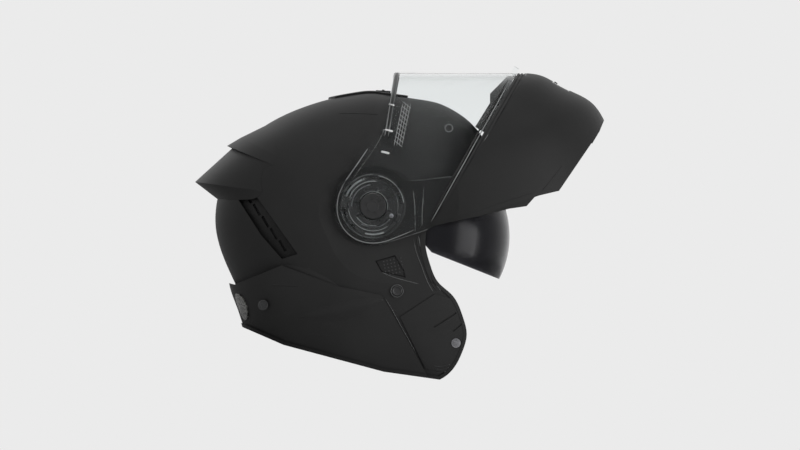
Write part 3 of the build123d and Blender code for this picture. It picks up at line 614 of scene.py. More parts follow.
class Skin:
    """The outer surface of some frame nodes, which rays from outside can find."""

    outside = 0.4
    batch = 24
    slack = 1e-6
    flat = 1e-14

    def __init__(self, *pieces: Piece) -> None:
        """Gathers the triangles of the pieces.

        Args:
            *pieces: Mesh objects whose place is in their mesh.
        """
        corners = []
        for piece in pieces:
            mesh = piece.data
            mesh.calc_loop_triangles()
            places = np.zeros(len(mesh.vertices) * 3)
            mesh.vertices.foreach_get("co", places)
            order = np.zeros(len(mesh.loop_triangles) * 3, int)
            mesh.loop_triangles.foreach_get("vertices", order)
            corners.append(places.reshape(-1, 3)[order].reshape(-1, 3, 3))
        self.corners = np.concatenate(corners)
        self.first = self.corners[:, 0]
        self.edges = self.corners[:, 1] - self.first, self.corners[:, 2] - self.first
        self.normals = unit(np.cross(*self.edges))

    def touch(self, starts: Array, ways: Array) -> tuple[Array, Array, Array]:
        """Finds the nearest point that each ray meets: where it crosses a plane inside its triangle.

        Args:
            starts: Ray starts, one per row.
            ways: Ray directions, one per row or one for all.

        Returns:
            The points, the surface's normals towards the starts, and which rays met the surface.
        """
        starts, ways = np.broadcast_arrays(*(np.atleast_2d(rows).astype(float) for rows in (starts, ways)))
        ways = unit(ways)
        one, two = self.edges
        far, found = np.full(len(starts), np.inf), np.zeros(len(starts), int)
        for low in range(0, len(starts), self.batch):
            some = slice(low, low + self.batch)
            o, d = starts[some, None], ways[some, None]
            across = np.cross(d, two[None])
            size = (across * one[None]).sum(-1)
            size = np.where(np.abs(size) < self.flat, self.flat, size)
            offset = o - self.first[None]
            u = (offset * across).sum(-1) / size
            turned = np.cross(offset, one[None])
            v = (d * turned).sum(-1) / size
            t = (two[None] * turned).sum(-1) / size
            inside = (u >= -self.slack) & (v >= -self.slack) & (u + v <= 1 + self.slack) & (t > 0)
            t = np.where(inside, t, np.inf)
            found[some] = t.argmin(1)
            far[some] = t.min(1)
        met = np.isfinite(far)
        points = starts + ways * np.where(met, far, 0.0)[:, None]
        normals = self.normals[found]
        normals = normals * -np.sign((normals * ways).sum(-1, keepdims=True))
        return points, normals, met

    def beside(self, x: Array, z: Array, side: Side) -> tuple[Array, Array, Array]:
        """Finds the side face at given X and Z, looking in from that side."""
        starts = np.stack([x, np.full(len(x), side.value * self.outside), z], 1)
        return self.touch(starts, -side.outward)


def new_piece(name: str, points: Array, faces: Sequence[Sequence[int]]) -> Piece:
    """Makes a smooth mesh object at the origin.

    Args:
        name: The piece's name.
        points: Vertices, one per row.
        faces: Vertex numbers of each face.

    Returns:
        The object.
    """
    mesh = bpy.data.meshes.new(name)
    mesh.from_pydata(np.asarray(points).reshape(-1, 3).tolist(), [], [list(map(int, f)) for f in faces])
    mesh.polygons.foreach_set("use_smooth", np.ones(len(mesh.polygons), bool))
    mesh.update()
    piece = bpy.data.objects.new(name, mesh)
    bpy.context.scene.collection.objects.link(piece)
    return piece


def tube_faces(rings: int, sides: int, closed: bool = False) -> list:
    """Lists the faces of a tube of rings.

    Args:
        rings: How many rings it has.
        sides: Points in a ring.
        closed: True where the rings join in a loop, and False for a cap at both ends.

    Returns:
        The faces.
    """
    ring, side = np.meshgrid(np.arange(rings if closed else rings - 1), np.arange(sides), indexing="ij")
    here, after, beside = ring * sides, (ring + 1) % rings * sides, (side + 1) % sides
    quads = np.stack([here + side, here + beside, after + beside, after + side], -1)
    faces = quads.reshape(-1, 4).tolist()
    if not closed:
        faces += [list(range(sides))[::-1], list(range((rings - 1) * sides, rings * sides))]
    return faces


def carried_section(path: Array, normals: Array, section: Array, taper: float = 0.0) -> tuple[Array, list]:
    """Carries a closed section along a path: across is the path's heading crossed with the normal.

    Args:
        path: Points of the path.
        normals: Up at each point.
        section: Across and up offsets of the section, running anticlockwise seen along the path.
        taper: Share of the run over which the section thins out at each end, as a power of a sine.

    Returns:
        The points, ring by ring, and the faces.
    """
    thinnest, power = 0.02, 0.7
    heading = unit(np.gradient(path, axis=0))
    across = unit(np.cross(heading, normals))
    up = unit(np.cross(across, heading))
    share = np.linspace(0, 1, len(path))
    size = np.ones(len(path))
    if taper:
        size = np.sin(np.clip(np.minimum(share, 1 - share) / taper, thinnest, 1) * math.pi / 2) ** power
    section = section[None] * size[:, None, None]
    points = path[:, None] + across[:, None] * section[..., :1] + up[:, None] * section[..., 1:]
    return points, [face[::-1] for face in tube_faces(len(path), section.shape[1])]


def knobs(centre: Array, first: Array, second: Array, axis: Array, out: Array, up: Array,
          sides: int) -> tuple[Array, list]:
    """Sets a small round body at each centre: rings whose radius is out, stepped along the axis by up.

    Args:
        centre: The bodies' middles, one per row.
        first: A direction across each body.
        second: The other direction across it.
        axis: The direction along it.
        out: Each ring's radius.
        up: Each ring's place along the axis.
        sides: Points in a ring.

    Returns:
        The points and the faces.
    """
    centre, first, second, axis = (rows[:, None, None] for rows in (centre, first, second, axis))
    turn = around(sides)[:, None]
    ring = first * np.cos(turn) + second * np.sin(turn)
    points = centre + ring * out[:, None, None] + axis * up[:, None, None]
    size = len(out) * sides
    one = tube_faces(len(out), sides)
    return points, [[i + size * k for i in face] for k in range(len(centre)) for face in one]


def slab(front: Array, back: Array) -> tuple[Array, list]:
    """Joins two grids of points into a closed slab: both grids and the wall between their rims.

    Args:
        front: Rows and columns of points.
        back: The same grid, behind it.

    Returns:
        The points and the faces.
    """
    rows, columns = front.shape[:2]
    number = np.arange(rows * columns).reshape(rows, columns)
    quads = np.stack([number[:-1, :-1], number[1:, :-1], number[1:, 1:], number[:-1, 1:]], -1)
    quads = quads.reshape(-1, 4)
    rim = np.concatenate([number[0, :-1], number[:-1, -1], number[-1, :0:-1], number[:0:-1, 0]])
    after, behind = np.roll(rim, -1), rows * columns
    wall = np.stack([rim, after, after + behind, rim + behind], -1)
    points = np.concatenate([front.reshape(-1, 3), back.reshape(-1, 3)])
    return points, quads.tolist() + (quads[:, ::-1] + behind).tolist() + wall.tolist()


def quad_grid(corners: Pixels, rows: int, columns: int) -> tuple[Array, Array]:
    """Spreads a grid over a four-cornered field: the corners' mean, weighted by the two shares.

    Args:
        corners: The four corners in order.
        rows: Rows from the first side to the third.
        columns: Columns from the fourth side to the second.

    Returns:
        The grid's two coordinates, row by row.
    """
    a, b, c, d = np.array(corners, float)
    down, across = np.meshgrid(np.linspace(0, 1, rows), np.linspace(0, 1, columns), indexing="ij")
    down, across = down[..., None], across[..., None]
    spots = (1 - down) * ((1 - across) * a + across * b) + down * ((1 - across) * d + across * c)
    return spots[..., 0], spots[..., 1]


def oval(half_width: float, half_height: float, sides: int = 10) -> Array:
    """Gives an ellipse's points: half width times cosine, half height times sine."""
    turn = around(sides)
    return np.stack([half_width * np.cos(turn), half_height * np.sin(turn)], 1)


def swell(width: float, rise: float) -> Array:
    """Gives a soft ridge's section: rise times the squared cosine of the share across, over a sunk base.

    Args:
        width: The ridge's width.
        rise: Its height.

    Returns:
        Across and up offsets.
    """
    sunk, count = 0.0004, 17
    across = np.linspace(width / 2, -width / 2, count)
    top = np.stack([across, rise * np.cos(math.pi * across / width) ** 2 - sunk / 4], 1)
    return np.concatenate([top, [(-width / 2, -sunk), (width / 2, -sunk)]])


def faces_outward(piece: Piece) -> None:
    """Turns a closed piece's faces outward: its signed volume tells whether they point in.

    Args:
        piece: The closed mesh piece.
    """
    skin = Skin(piece)
    volume = (skin.corners[:, 0] * np.cross(skin.corners[:, 1], skin.corners[:, 2])).sum()
    if volume < 0:
        piece.data.flip_normals()


@dataclass
class Workshop:
    """What every sub-assembly needs: the frame, the finishes and the way a piece is entered."""

    frame: dict
    finishes: Finishes
    plane: PhotoPlane
    skins: dict = field(default_factory=dict)
    count: int = 0

    def skin(self, *names: str) -> Skin:
        """The joined outer surface of some nodes, gathered once."""
        if names not in self.skins:
            self.skins[names] = Skin(*(self.frame["nodes"][name] for name in names))
        return self.skins[names]

    def enter(self, piece: Piece, dress: Dress, *replaced: str) -> Piece:
        """Dresses a piece, lets it ride and hides the nodes that it stands for.

        Args:
            piece: The piece.
            dress: Its body, finish and slot.
            *replaced: Nodes that it stands for.

        Returns:
            The piece.
        """
        faces_outward(piece)
        self.finishes.put(piece, dress.finish)
        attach(piece, dress.body)
        if replaced:
            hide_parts(*replaced)
        self.count += 1
        LOG.info("%s rides on %s, %d faces", piece.name, dress.body, len(piece.data.polygons))
        return piece

    def side_run(self, pixels: Pixels, side: Side, count: int, *names: str) -> tuple[Array, Array]:
        """Lays a run of pixels on the side of some nodes: smooth in the plane, with the skin's own Y.

        Args:
            pixels: The run's pixels in the side view.
            side: The side that it lies on.
            count: How many points it gets.
            *names: The nodes that carry it.

        Returns:
            The points and the evened normals.
        """
        flat = evenly(np.stack(self.plane.place(*np.array(pixels, float).T), 1), count)
        points, normals, met = self.skin(*names).beside(flat[:, 0], flat[:, 1], side)
        return points[met], unit(eased(normals[met], 6))


@dataclass
class HelmetStage:
    """The pale floor, the soft lamps and the camera square to the helmet's right side."""

    plane: PhotoPlane
    floor_reach: float = 3.0
    view_width: float = 0.76
    view_distance: float = 2.4
    view_middle: Pair = (400.0, 225.0)
    clip: Pair = (0.01, 50.0)
    room_light: float = 0.25
    backdrop: float = 0.831
    lamps: tuple = (
        ("overhead_box", (-0.2, -0.6, 1.5), (0.0, 0.0, 0.15), (1.3, 0.9), 5.5),
        ("camera_box", (1.5, -1.35, 0.35), (0.0, 0.0, 0.15), (1.1, 1.1), 19.0),
        ("front_box", (1.6, -0.8, 0.3), (0.05, 0.0, 0.15), (0.5, 0.9), 2.0),
        ("far_box", (-1.2, 1.5, 0.7), (0.0, 0.0, 0.15), (1.0, 1.0), 3.0),
    )

    def camera(self) -> None:
        """Makes the camera: it looks along +Y, rolled by the photograph's tilt."""
        data = bpy.data.cameras.new("view")
        data.type, data.ortho_scale = "ORTHO", self.view_width
        data.clip_start, data.clip_end = self.clip
        x, z = self.plane.place(*self.view_middle)
        c, s = math.cos(self.plane.tilt), math.sin(self.plane.tilt)
        turn = Matrix((Vector((c, 0, s)), Vector((-s, 0, c)), Vector((0, -1, 0)))).transposed().to_4x4()
        camera = bpy.data.objects.new("view", data)
        camera.matrix_world = Matrix.Translation((float(x), -self.view_distance, float(z))) @ turn
        bpy.context.scene.collection.objects.link(camera)
        bpy.context.scene.camera = camera

    def lamp(self, name: str, place: tuple, aim: tuple, size: Pair, power: float) -> None:
        """Makes one soft box.

        Args:
            name: The lamp's name.
            place: Where it stands.
            aim: The point that it faces.
            size: Its width and height.
            power: Its power in watts.
        """
        data = bpy.data.lights.new(name, "AREA")
        data.shape, data.size, data.size_y, data.energy = "RECTANGLE", size[0], size[1], power
        lamp = bpy.data.objects.new(name, data)
        lamp.location = place
        lamp.rotation_euler = (Vector(aim) - Vector(place)).to_track_quat("-Z", "Y").to_euler()
        bpy.context.scene.collection.objects.link(lamp)

    def sky(self) -> None:
        """Lights the room evenly, and shows a pale backdrop to the camera, in gloss and through glass."""
        world = bpy.data.worlds.new("room")
        world.use_nodes = True
        bpy.context.scene.world = world
        tree = world.node_tree
        room, output = tree.nodes["Background"], tree.nodes["World Output"]
        room.inputs["Color"].default_value = (1, 1, 1, 1)
        room.inputs["Strength"].default_value = self.room_light
        seen = tree.nodes.new("ShaderNodeBackground")
        seen.inputs["Color"].default_value = (self.backdrop,) * 3 + (1,)
        path, mix = tree.nodes.new("ShaderNodeLightPath"), tree.nodes.new("ShaderNodeMixShader")
        straight, any_way = (tree.nodes.new("ShaderNodeMath") for _ in range(2))
        straight.operation = any_way.operation = "MAXIMUM"
        for source, target in (
            (path.outputs["Is Camera Ray"], straight.inputs[0]),
            (path.outputs["Is Transmission Ray"], straight.inputs[1]),
            (straight.outputs[0], any_way.inputs[0]),
            (path.outputs["Is Glossy Ray"], any_way.inputs[1]),
            (any_way.outputs[0], mix.inputs["Fac"]),
            (room.outputs[0], mix.inputs[1]),
            (seen.outputs[0], mix.inputs[2]),
            (mix.outputs[0], output.inputs["Surface"]),
        ):
            tree.links.new(source, target)

    def build(self) -> None:
        """Makes the whole stage."""
        reach = self.floor_reach
        corners = [(-reach, -reach, 0), (reach, -reach, 0), (reach, reach, 0), (-reach, reach, 0)]
        mesh = bpy.data.meshes.new("floor")
        mesh.from_pydata(corners, [], [(0, 1, 2, 3)])
        floor = bpy.data.objects.new("floor", mesh)
        bpy.context.scene.collection.objects.link(floor)
        mesh.materials.append(StagePaper("stage_paper", tone(232, 232, 232), tone(238, 238, 238)).make())
        for lamp in self.lamps:
            self.lamp(*lamp)
        self.sky()
        self.camera()
        bpy.context.scene.view_settings.view_transform = "Standard"


@dataclass
class CarriedNodes:
    """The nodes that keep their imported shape, each with its finish. A star stands for both sides."""

    finishes: Finishes
    nodes: dict
    plan: tuple = (
        ("shell_paint", "outer_shell rear_spoiler jaw_cover_* top_vent_base"),
        ("panel_paint", "chin_bar_shell"),
        ("satin_vent", "top_vent_slider chin_vent_grille chin_vent_slider"),
        # The exhaust vents' near-black colour is painted shade of their recesses.
        ("recess_dark", "exhaust_vent_*"),
        ("black_plastic", "base_plate_* release_button sun_visor_lever breath_guard strap_rivet_*"),
        ("black_plastic", "buckle_body sun_visor_pin_*"),
        ("detent_plastic", "visor_ratchet_* pivot_cap_*"),
        ("grey_plastic", "rear_rivet_*"),
        ("edge_rubber", "rim_trim eye_port_gasket"),
        ("seal_rubber", "visor_seal"),
        ("clear_window", "clear_visor pinlock_pin_*"),
        ("smoke_window", "sun_visor_lens"),
        ("steel", "latch_claw_* lock_pin_* buckle_lever"),
        ("prism_reflector", "rear_reflector_*"),
        ("bead_foam", "eps_liner chin_bar_foam"),
        ("lining_cloth", "crown_pad cheek_pad_*"),
        ("neck_cloth", "neck_roll"),
        ("strap_webbing", "chin_strap_*"),
    )

    def build(self) -> int:
        """Dresses every carried node and gives how many there were."""
        done = {
            node.replace("*", side.word): name
            for name, members in self.plan
            for node in members.split()
            for side in Side
        }
        for node, name in done.items():
            self.finishes.put(self.nodes[node], name)
        return len(done)


class Carrier(NamedTuple):
    """What a fine line belongs to: its body and slot, and the nodes that it lies on."""

    body: str
    slot: str
    nodes: tuple[str, ...]


class Line(NamedTuple):
    """One fine line: its run in the side view, how it stands up and how far its middle is off the skin."""

    name: str
    carrier: Carrier
    finish: str
    width: float
    pixels: Pixels
    relief: Relief = Relief.BEAD
    lift: float = 0.0


SHELL = Carrier("root", "shell", ("outer_shell",))
SHELL_TRIM = Carrier("root", "trim", ("outer_shell",))
EYE_PORT = Carrier("root", "seal", ("outer_shell",))
JAW = Carrier("root", "shell", ("jaw_cover_right", "jaw_cover_left", "outer_shell"))
CHIN_BAR = Carrier("chin_bar", "panel", ("chin_bar_shell",))
VISOR = Carrier("visor", "clear", ("clear_visor",))
VISOR_SEAL = Carrier("visor", "seal", ("clear_visor",))

# Lines in the pale edge and glint finishes carry a painted highlight: their pale colour stands for light
# along an edge, rib or lip.
FINE_LINES = (
    Line("flank_short_groove", SHELL_TRIM, "edge_rubber", 0.0014,
         ((270, 285.6), (284, 285.8), (299, 286.4)), Relief.GROOVE),
    Line("flank_slot_line", SHELL_TRIM, "edge_rubber", 0.0013,
         ((307, 335.6), (318, 335.4), (330, 335.8)), Relief.GROOVE),
    Line("crown_side_line", SHELL, "shell_paint", 0.0009, ((338, 113.6), (352, 113.2), (379, 114.6))),
    Line("flank_upper_crease", SHELL, "shell_paint", 0.014,
         ((281, 265), (300, 272), (320, 279.5), (338, 286)), Relief.SWELL),
    Line("flank_lower_crease", SHELL, "shell_paint", 0.017,
         ((299, 317.5), (320, 314.8), (341, 311.8), (362, 306), (383, 299.5)), Relief.SWELL),
    Line("arm_top_edge", CHIN_BAR, "dull_edge", 0.0009,
         ((405, 180), (416, 180.6), (434, 178.6), (452, 176.4))),
    Line("arm_low_edge", CHIN_BAR, "dull_edge", 0.0009,
         ((384, 243), (400, 239.5), (416, 234), (428, 229))),
    Line("arm_rib_rear", CHIN_BAR, "dull_edge", 0.0008,
         ((413, 190), (414.6, 205), (415, 220), (415, 232))),
    Line("arm_rib_front", CHIN_BAR, "dull_edge", 0.0008,
         ((424, 186), (423, 200), (422, 214), (422, 226))),
    Line("jaw_pocket_edge", SHELL, "dull_edge", 0.0008,
         ((381, 272), (393, 277), (407, 281), (419, 284)), lift=-0.0001),
    Line("visor_low_edge", VISOR, "bright_edge", 0.0009,
         ((432, 226.5), (446, 201), (462, 172), (480, 139.5), (497, 109), (513.5, 79))),
    Line("seal_inner_lip", VISOR, "bright_edge", 0.0009,
         ((431, 222), (445, 197), (461, 168.5), (479, 136), (496, 105.5), (510, 80))),
    Line("seal_dark_lip", VISOR_SEAL, "seal_rubber", 0.0016,
         ((430, 219), (443, 195.5), (459, 167), (477, 134.5), (494, 104), (508.5, 78)), lift=-0.0004),
    Line("hub_outer_edge", VISOR, "bright_edge", 0.0008,
         ((345, 181.5), (338.4, 196), (337, 211), (341.5, 225.5), (352, 237), (366, 242.6),
          (381, 242.4), (397, 237), (414, 230))),
    Line("visor_rear_edge", VISOR, "bright_edge", 0.001,
         ((345, 181.5), (360, 160), (372.6, 141), (380.6, 127))),
    *(Line(f"brow_rib_{i}", VISOR, "bright_edge", 0.0006,
           ((388 + 3 * i, 101), (385.5 + 3 * i, 116), (383 + 3 * i, 133))) for i in range(3)),
    # Short bars in the glint finish: painted glints on the visor's brow.
    *(Line(f"brow_catch_{i}", VISOR, "glint", 0.0021, ((u, v), (u + 4, v + 0.8), (u + 8.5, v + 2)))
      for i, (u, v) in enumerate(((386, 103.5), (384.5, 129.5), (381, 151.5)))),
    *(Line(f"side_pad_rib_{i}", VISOR, "bright_edge", 0.0008,
           ((403 + 2.6 * i, 103), (398.5 + 2.6 * i, 124), (394 + 2.6 * i, 146))) for i in range(4)),
    *(Line(f"side_pad_tooth_{i}", VISOR, "bright_edge", 0.0008,
           tuple((u - 0.95 * i, v + 4.3 * i) for u, v in ((402.5, 101.5), (407, 105), (411, 108.5))))
      for i in range(10)),
    Line("visor_rear_inner_edge", VISOR, "dull_edge", 0.0006,
         ((352, 180), (364, 163), (376.5, 145), (386, 127))),
    Line("panel_low_crease", CHIN_BAR, "panel_paint", 0.0009,
         ((437, 223.5), (458, 217.5), (477, 211.5), (505, 201.5), (524, 195.5), (538, 191)), lift=-0.0001),
    Line("panel_corner_crease", CHIN_BAR, "panel_paint", 0.0009,
         ((541, 192), (549, 182.5), (563, 165)), lift=-0.0001),
    Line("gasket_bright_lip", EYE_PORT, "bright_edge", 0.0008,
         ((418.6, 236), (420.5, 246), (426, 261), (434, 281), (441, 291)), lift=0.0001),
    Line("gasket_dark_lip", EYE_PORT, "edge_rubber", 0.0015,
         ((416.4, 237), (418.6, 249), (423.6, 263), (431.4, 283), (437, 291.5))),
    Line("jaw_cover_bright_edge", SHELL, "dull_edge", 0.0006,
         ((384.5, 297), (393, 311.5), (402, 328), (411, 344), (416.5, 354.5)), lift=0.0001),
    Line("gasket_outer_lip", EYE_PORT, "dull_edge", 0.0006,
         ((413.4, 239), (416, 251), (421.2, 265), (428.6, 284), (433.5, 292.5)), lift=0.0001),
    *(Line(f"jaw_low_ridge_{i}", JAW, "black_plastic", 0.0013,
           ((433 + 1.5 * i, 366 + 3.2 * i), (441 + 0.8 * i, 366.5 + 2.9 * i),
            (450 - 1.2 * i, 364.4 + 3.1 * i))) for i in range(3)),
)


@dataclass
class FineLines:
    """The seams, grooves and lips that are too fine for the frame, and pale lines that are painted highlights
    along edges and ribs.
    """

    shop: Workshop
    groove_rise: float = 0.00012
    lip_rise: float = 0.0005
    lip_share: float = 0.4
    swell_share: float = 0.09
    end_taper: float = 0.12
    swell_taper: float = 0.5
    points: int = 48
    fewest: int = 4
    lever_side: Side = Side.LEFT
    off_lever: tuple = ("flank_slot_line",)

    def lay(self, line: Line, side: Side) -> None:
        """Lays one line on a side of its nodes: an ellipse or a soft ridge carried along the run.

        Args:
            line: The line.
            side: The side that it lies on.
        """
        path, normals = self.shop.side_run(line.pixels, side, self.points, *line.carrier.nodes)
        if len(path) < self.fewest:
            LOG.warning("%s misses its carrier on the %s", line.name, side.word)
            return
        lip = min(self.lip_rise, line.width * self.lip_share)
        rise = self.groove_rise if line.relief is Relief.GROOVE else lip
        section, taper = oval(line.width / 2, rise), self.end_taper
        if line.relief is Relief.SWELL:
            section, taper = swell(line.width, line.width * self.swell_share), self.swell_taper
        path = eased(path + normals * line.lift, 2)
        piece = new_piece(f"{line.name}_{side.word}", *carried_section(path, normals, section, taper))
        self.shop.enter(piece, Dress(line.carrier.body, line.finish, line.carrier.slot))

    def build(self) -> None:
        """Lays every line on both sides, except where the sun visor's lever slides."""
        for side in Side:
            for line in FINE_LINES:
                if side is not self.lever_side or line.name not in self.off_lever:
                    self.lay(line, side)


class RoundTrim(NamedTuple):
    """A ring on the outer end of a node, or a dished cap where it has no lift."""

    name: str
    node: str
    radius: float
    height: float
    dress: Dress
    lift: float | None = None


# Dresses for the round trims; the first two are pale painted highlights.
DIM_HIGHLIGHT_TRIM, HIGHLIGHT_TRIM, BLACK_TRIM = (
    Dress("root", finish, "black_plastic") for finish in ("dull_edge", "bright_edge", "black_plastic")
)


@dataclass
class SmallHardware:
    """Rings and heads on the rivets, pins and pivot caps, and the jaw's grip dots."""

    shop: Workshop
    spokes: int = 64
    ring_sides: int = 12
    cap_shares: tuple = (1.0, 1.0, 0.97, 0.9, 0.82, 0.7, 0.5, 0.3, 0.12, 0.02)
    cap_levels: tuple = (-0.6, 0.35, 0.75, 1.0, 0.9, 0.45, 0.3, 0.26, 0.24, 0.24)
    dot_radius: float = 0.0009
    dot_rise: float = 0.00045
    dot_sides: int = 10
    dot_angles: tuple = (-0.25, 0.25, 0.75, 1.25, 1.5)
    dot_grid: tuple[int, int] = (6, 5)
    dot_start: Pair = (383.5, 261.5)
    dot_along: Pair = (17.0, -3.5)
    dot_down: Pair = (2.5, 13.5)
    # The pale rings on the strap rivet, the pinlock pin and the pivot cap are painted highlights.
    trims: tuple = (
        RoundTrim("strap_rivet_ring", "strap_rivet", 0.0058, 0.0009, DIM_HIGHLIGHT_TRIM, -0.0003),
        RoundTrim("strap_rivet_head", "strap_rivet", 0.0047, 0.0006, BLACK_TRIM),
        RoundTrim("rear_rivet_ring", "rear_rivet", 0.0041, 0.0008, BLACK_TRIM, 0.0),
        RoundTrim("pinlock_ring", "pinlock_pin", 0.0036, 0.0007, Dress("visor", "bright_edge", "clear"), 0.0),
        RoundTrim("pinlock_head", "pinlock_pin", 0.0026, 0.0005, Dress("visor", "black_plastic", "clear")),
        RoundTrim("pivot_outer_ring", "pivot_cap", 0.0114, 0.0008, HIGHLIGHT_TRIM, -0.0004),
        RoundTrim("pivot_inner_ring", "pivot_cap", 0.0052, 0.0007, BLACK_TRIM, 0.0),
    )

    def turned(self, trim: RoundTrim, side: Side) -> None:
        """Turns a profile about the node's own line: radius out from the line, height along it.

        Args:
            trim: The ring or cap.
            side: The side that it is on.
        """
        low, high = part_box(f"{trim.node}_{side.word}")
        end = max(abs(low.y), abs(high.y))
        is_ring = trim.lift is not None
        if is_ring:
            half = trim.height / 2
            radius, out = (oval(half, half, self.ring_sides) + (trim.radius, end + trim.lift)).T
        else:
            radius = trim.radius * np.array(self.cap_shares)
            out = end + trim.height * np.array(self.cap_levels)
        turn = around(self.spokes)
        x = (low.x + high.x) / 2 + radius[:, None] * np.cos(turn)
        z = (low.z + high.z) / 2 + radius[:, None] * np.sin(turn)
        points = np.stack([x, side.value * np.repeat(out[:, None], self.spokes, 1), z], -1)
        faces = tube_faces(len(radius), self.spokes, is_ring)
        self.shop.enter(new_piece(f"{trim.name}_{side.word}", points, faces), trim.dress)

    def dots(self, side: Side) -> None:
        """Raises the grip dots of one jaw pocket: a grid of flattened spheres, all in one piece.

        Args:
            side: The side that they are on.
        """
        u, v = np.meshgrid(*(np.linspace(0, 1, count) for count in self.dot_grid))
        along, down = np.array(self.dot_along), np.array(self.dot_down)
        grid = self.dot_start + u[..., None] * along + v[..., None] * down
        x, z = self.shop.plane.place(*grid.reshape(-1, 2).T)
        centre, normal, met = self.shop.skin("outer_shell").beside(x, z, side)
        centre, normal = centre[met], normal[met]
        first = unit(np.cross(normal, np.array([0.0, 0.0, 1.0])))
        lean = np.array(self.dot_angles)
        out, up = self.dot_radius * np.cos(lean), self.dot_rise * np.sin(lean)
        made = knobs(centre, first, np.cross(normal, first), normal, out, up, self.dot_sides)
        piece = new_piece(f"pocket_grip_dots_{side.word}", *made)
        self.shop.enter(piece, Dress("root", "satin_vent", "shell"))

    def build(self) -> None:
        """Builds the hardware of both sides."""
        for side in Side:
            for trim in self.trims:
                self.turned(trim, side)
            self.dots(side)


@dataclass
class VentGauze:
    """The woven gauze behind the exhaust slots, and a thin plate in the pocket at the jaw, both near-black as
    painted shade of their recesses.
    """

    shop: Workshop
    gauze_corners: tuple = ((237, 198), (260, 196), (301, 255), (281, 262))
    gauze_grid: tuple[int, int] = (150, 44)
    wires_along: float = 46.0
    wires_across: float = 13.0
    wire_rise: float = 0.00015
    gap: float = 0.0003
    thick: float = 0.0006
    pocket_corners: tuple = ((375.5, 261), (395, 255.5), (405, 277), (381.5, 271.5))
    pocket_grid: tuple[int, int] = (16, 16)
    pocket_rise: float = 0.00025

    def gauze(self, side: Side) -> None:
        """Builds one gauze: a quadratic fitted to the insert's inner face, with a product of two sines.

        Args:
            side: The side that it is on.
        """
        x, z = self.shop.plane.place(*quad_grid(self.gauze_corners, *self.gauze_grid))
        a, b = x.ravel(), z.ravel()
        starts = np.stack([a, np.zeros(a.size), b], 1)
        found, _, met = self.shop.skin(f"exhaust_vent_{side.word}").touch(starts, side.outward)
        terms = np.stack([np.ones(a.size), a, b, a**2, a * b, b**2], 1)
        fit = np.linalg.lstsq(terms[met], np.abs(found[met, 1]), rcond=None)[0]
        rows, columns = (np.linspace(0, math.pi, count) for count in self.gauze_grid)
        weave = np.sin(rows[:, None] * self.wires_along) * np.sin(columns * self.wires_across)
        outer = (terms @ fit).reshape(x.shape) - self.gap - self.wire_rise * (1 - weave)
        front, back = (np.stack([x, side.value * y, z], -1) for y in (outer, outer - self.thick))
        piece = new_piece(f"exhaust_gauze_{side.word}", *slab(front, back))
        # The gauze's near-black colour is painted shade of the vent recess.
        self.shop.enter(piece, Dress("root", "recess_dark", "vent_plastic"))

    def pocket(self, side: Side) -> None:
        """Builds the pocket's painted shade: a thin dark plate laid on the shell, half above it and half
        below.

        Args:
            side: The side that it is on.
        """
        x, z = self.shop.plane.place(*quad_grid(self.pocket_corners, *self.pocket_grid))
        points, normals, _ = self.shop.skin("outer_shell").beside(x.ravel(), z.ravel(), side)
        shift = (normals * self.pocket_rise).reshape(*x.shape, 3)
        floor = points.reshape(*x.shape, 3)
        front, back = floor + shift, floor - shift
        piece = new_piece(f"jaw_pocket_floor_{side.word}", *slab(front, back))
        self.shop.enter(piece, Dress("root", "recess_dark", "shell"))

    def build(self) -> None:
        """Builds both sides."""
        for side in Side:
            self.gauze(side)
            self.pocket(side)


@dataclass
class BrowBand:
    """The clear visor's frosted brow band and its two ribs, carried over the top from side to side; the ribs'
    pale colour is a painted highlight.
    """

    shop: Workshop
    edge_low: Pair = (384.8, 127.0)
    edge_high: Pair = (397.4, 51.8)
    inset: float = 0.0030
    sweep: Pair = (-4.0, 184.0)
    count: int = 150
    sides: int = 12
    parts: tuple = (
        ("brow_band", 0.0, 0.0048, 0.00035, "frosted_edge"),
        ("brow_band_rib_1", -0.0016, 0.0007, 0.00063, "bright_edge"),
        ("brow_band_rib_2", 0.0016, 0.0007, 0.00063, "bright_edge"),
    )

    def build(self) -> None:
        """Builds the parts along rays in a plane beside the visor's edge, turned from side to side."""
        low, high = (np.array(self.shop.plane.place(*edge)) for edge in (self.edge_low, self.edge_high))
        way_x, way_z = (high - low) / np.linalg.norm(high - low)
        up, inward = np.array([way_x, 0.0, way_z]), np.array([way_z, 0.0, -way_x])
        centre = np.array([low[0], 0.0, low[1]]) + inward * self.inset
        turn = np.linspace(*np.radians(self.sweep), self.count)[:, None]
        out = np.cos(turn) * Side.RIGHT.outward + np.sin(turn) * up
        skin = self.shop.skin("clear_visor")
        points, normals, met = skin.touch(centre + skin.outside * out, -out)
        path, normals = eased(points[met], 4), unit(eased(normals[met], 8))
        for name, shift, width, rise, finish in self.parts:
            made = carried_section(path + inward * shift, normals, oval(width / 2, rise, self.sides))
            self.shop.enter(new_piece(name, *made), Dress("visor", finish, "clear"))


class Wave(Enum):
    """How a ring of the detent plate changes round the hinge."""

    EVEN = "even"
    TEETH = "teeth"
    RIBS = "ribs"
    LOBES = "lobes"


class PlateRing(NamedTuple):
    """A ring of the detent plate: its two radii, its height as a share and the arcs that it fills."""

    low: float
    high: float
    height: float
    spans: tuple[Pair, ...] = ()
    wave: Wave = Wave.EVEN


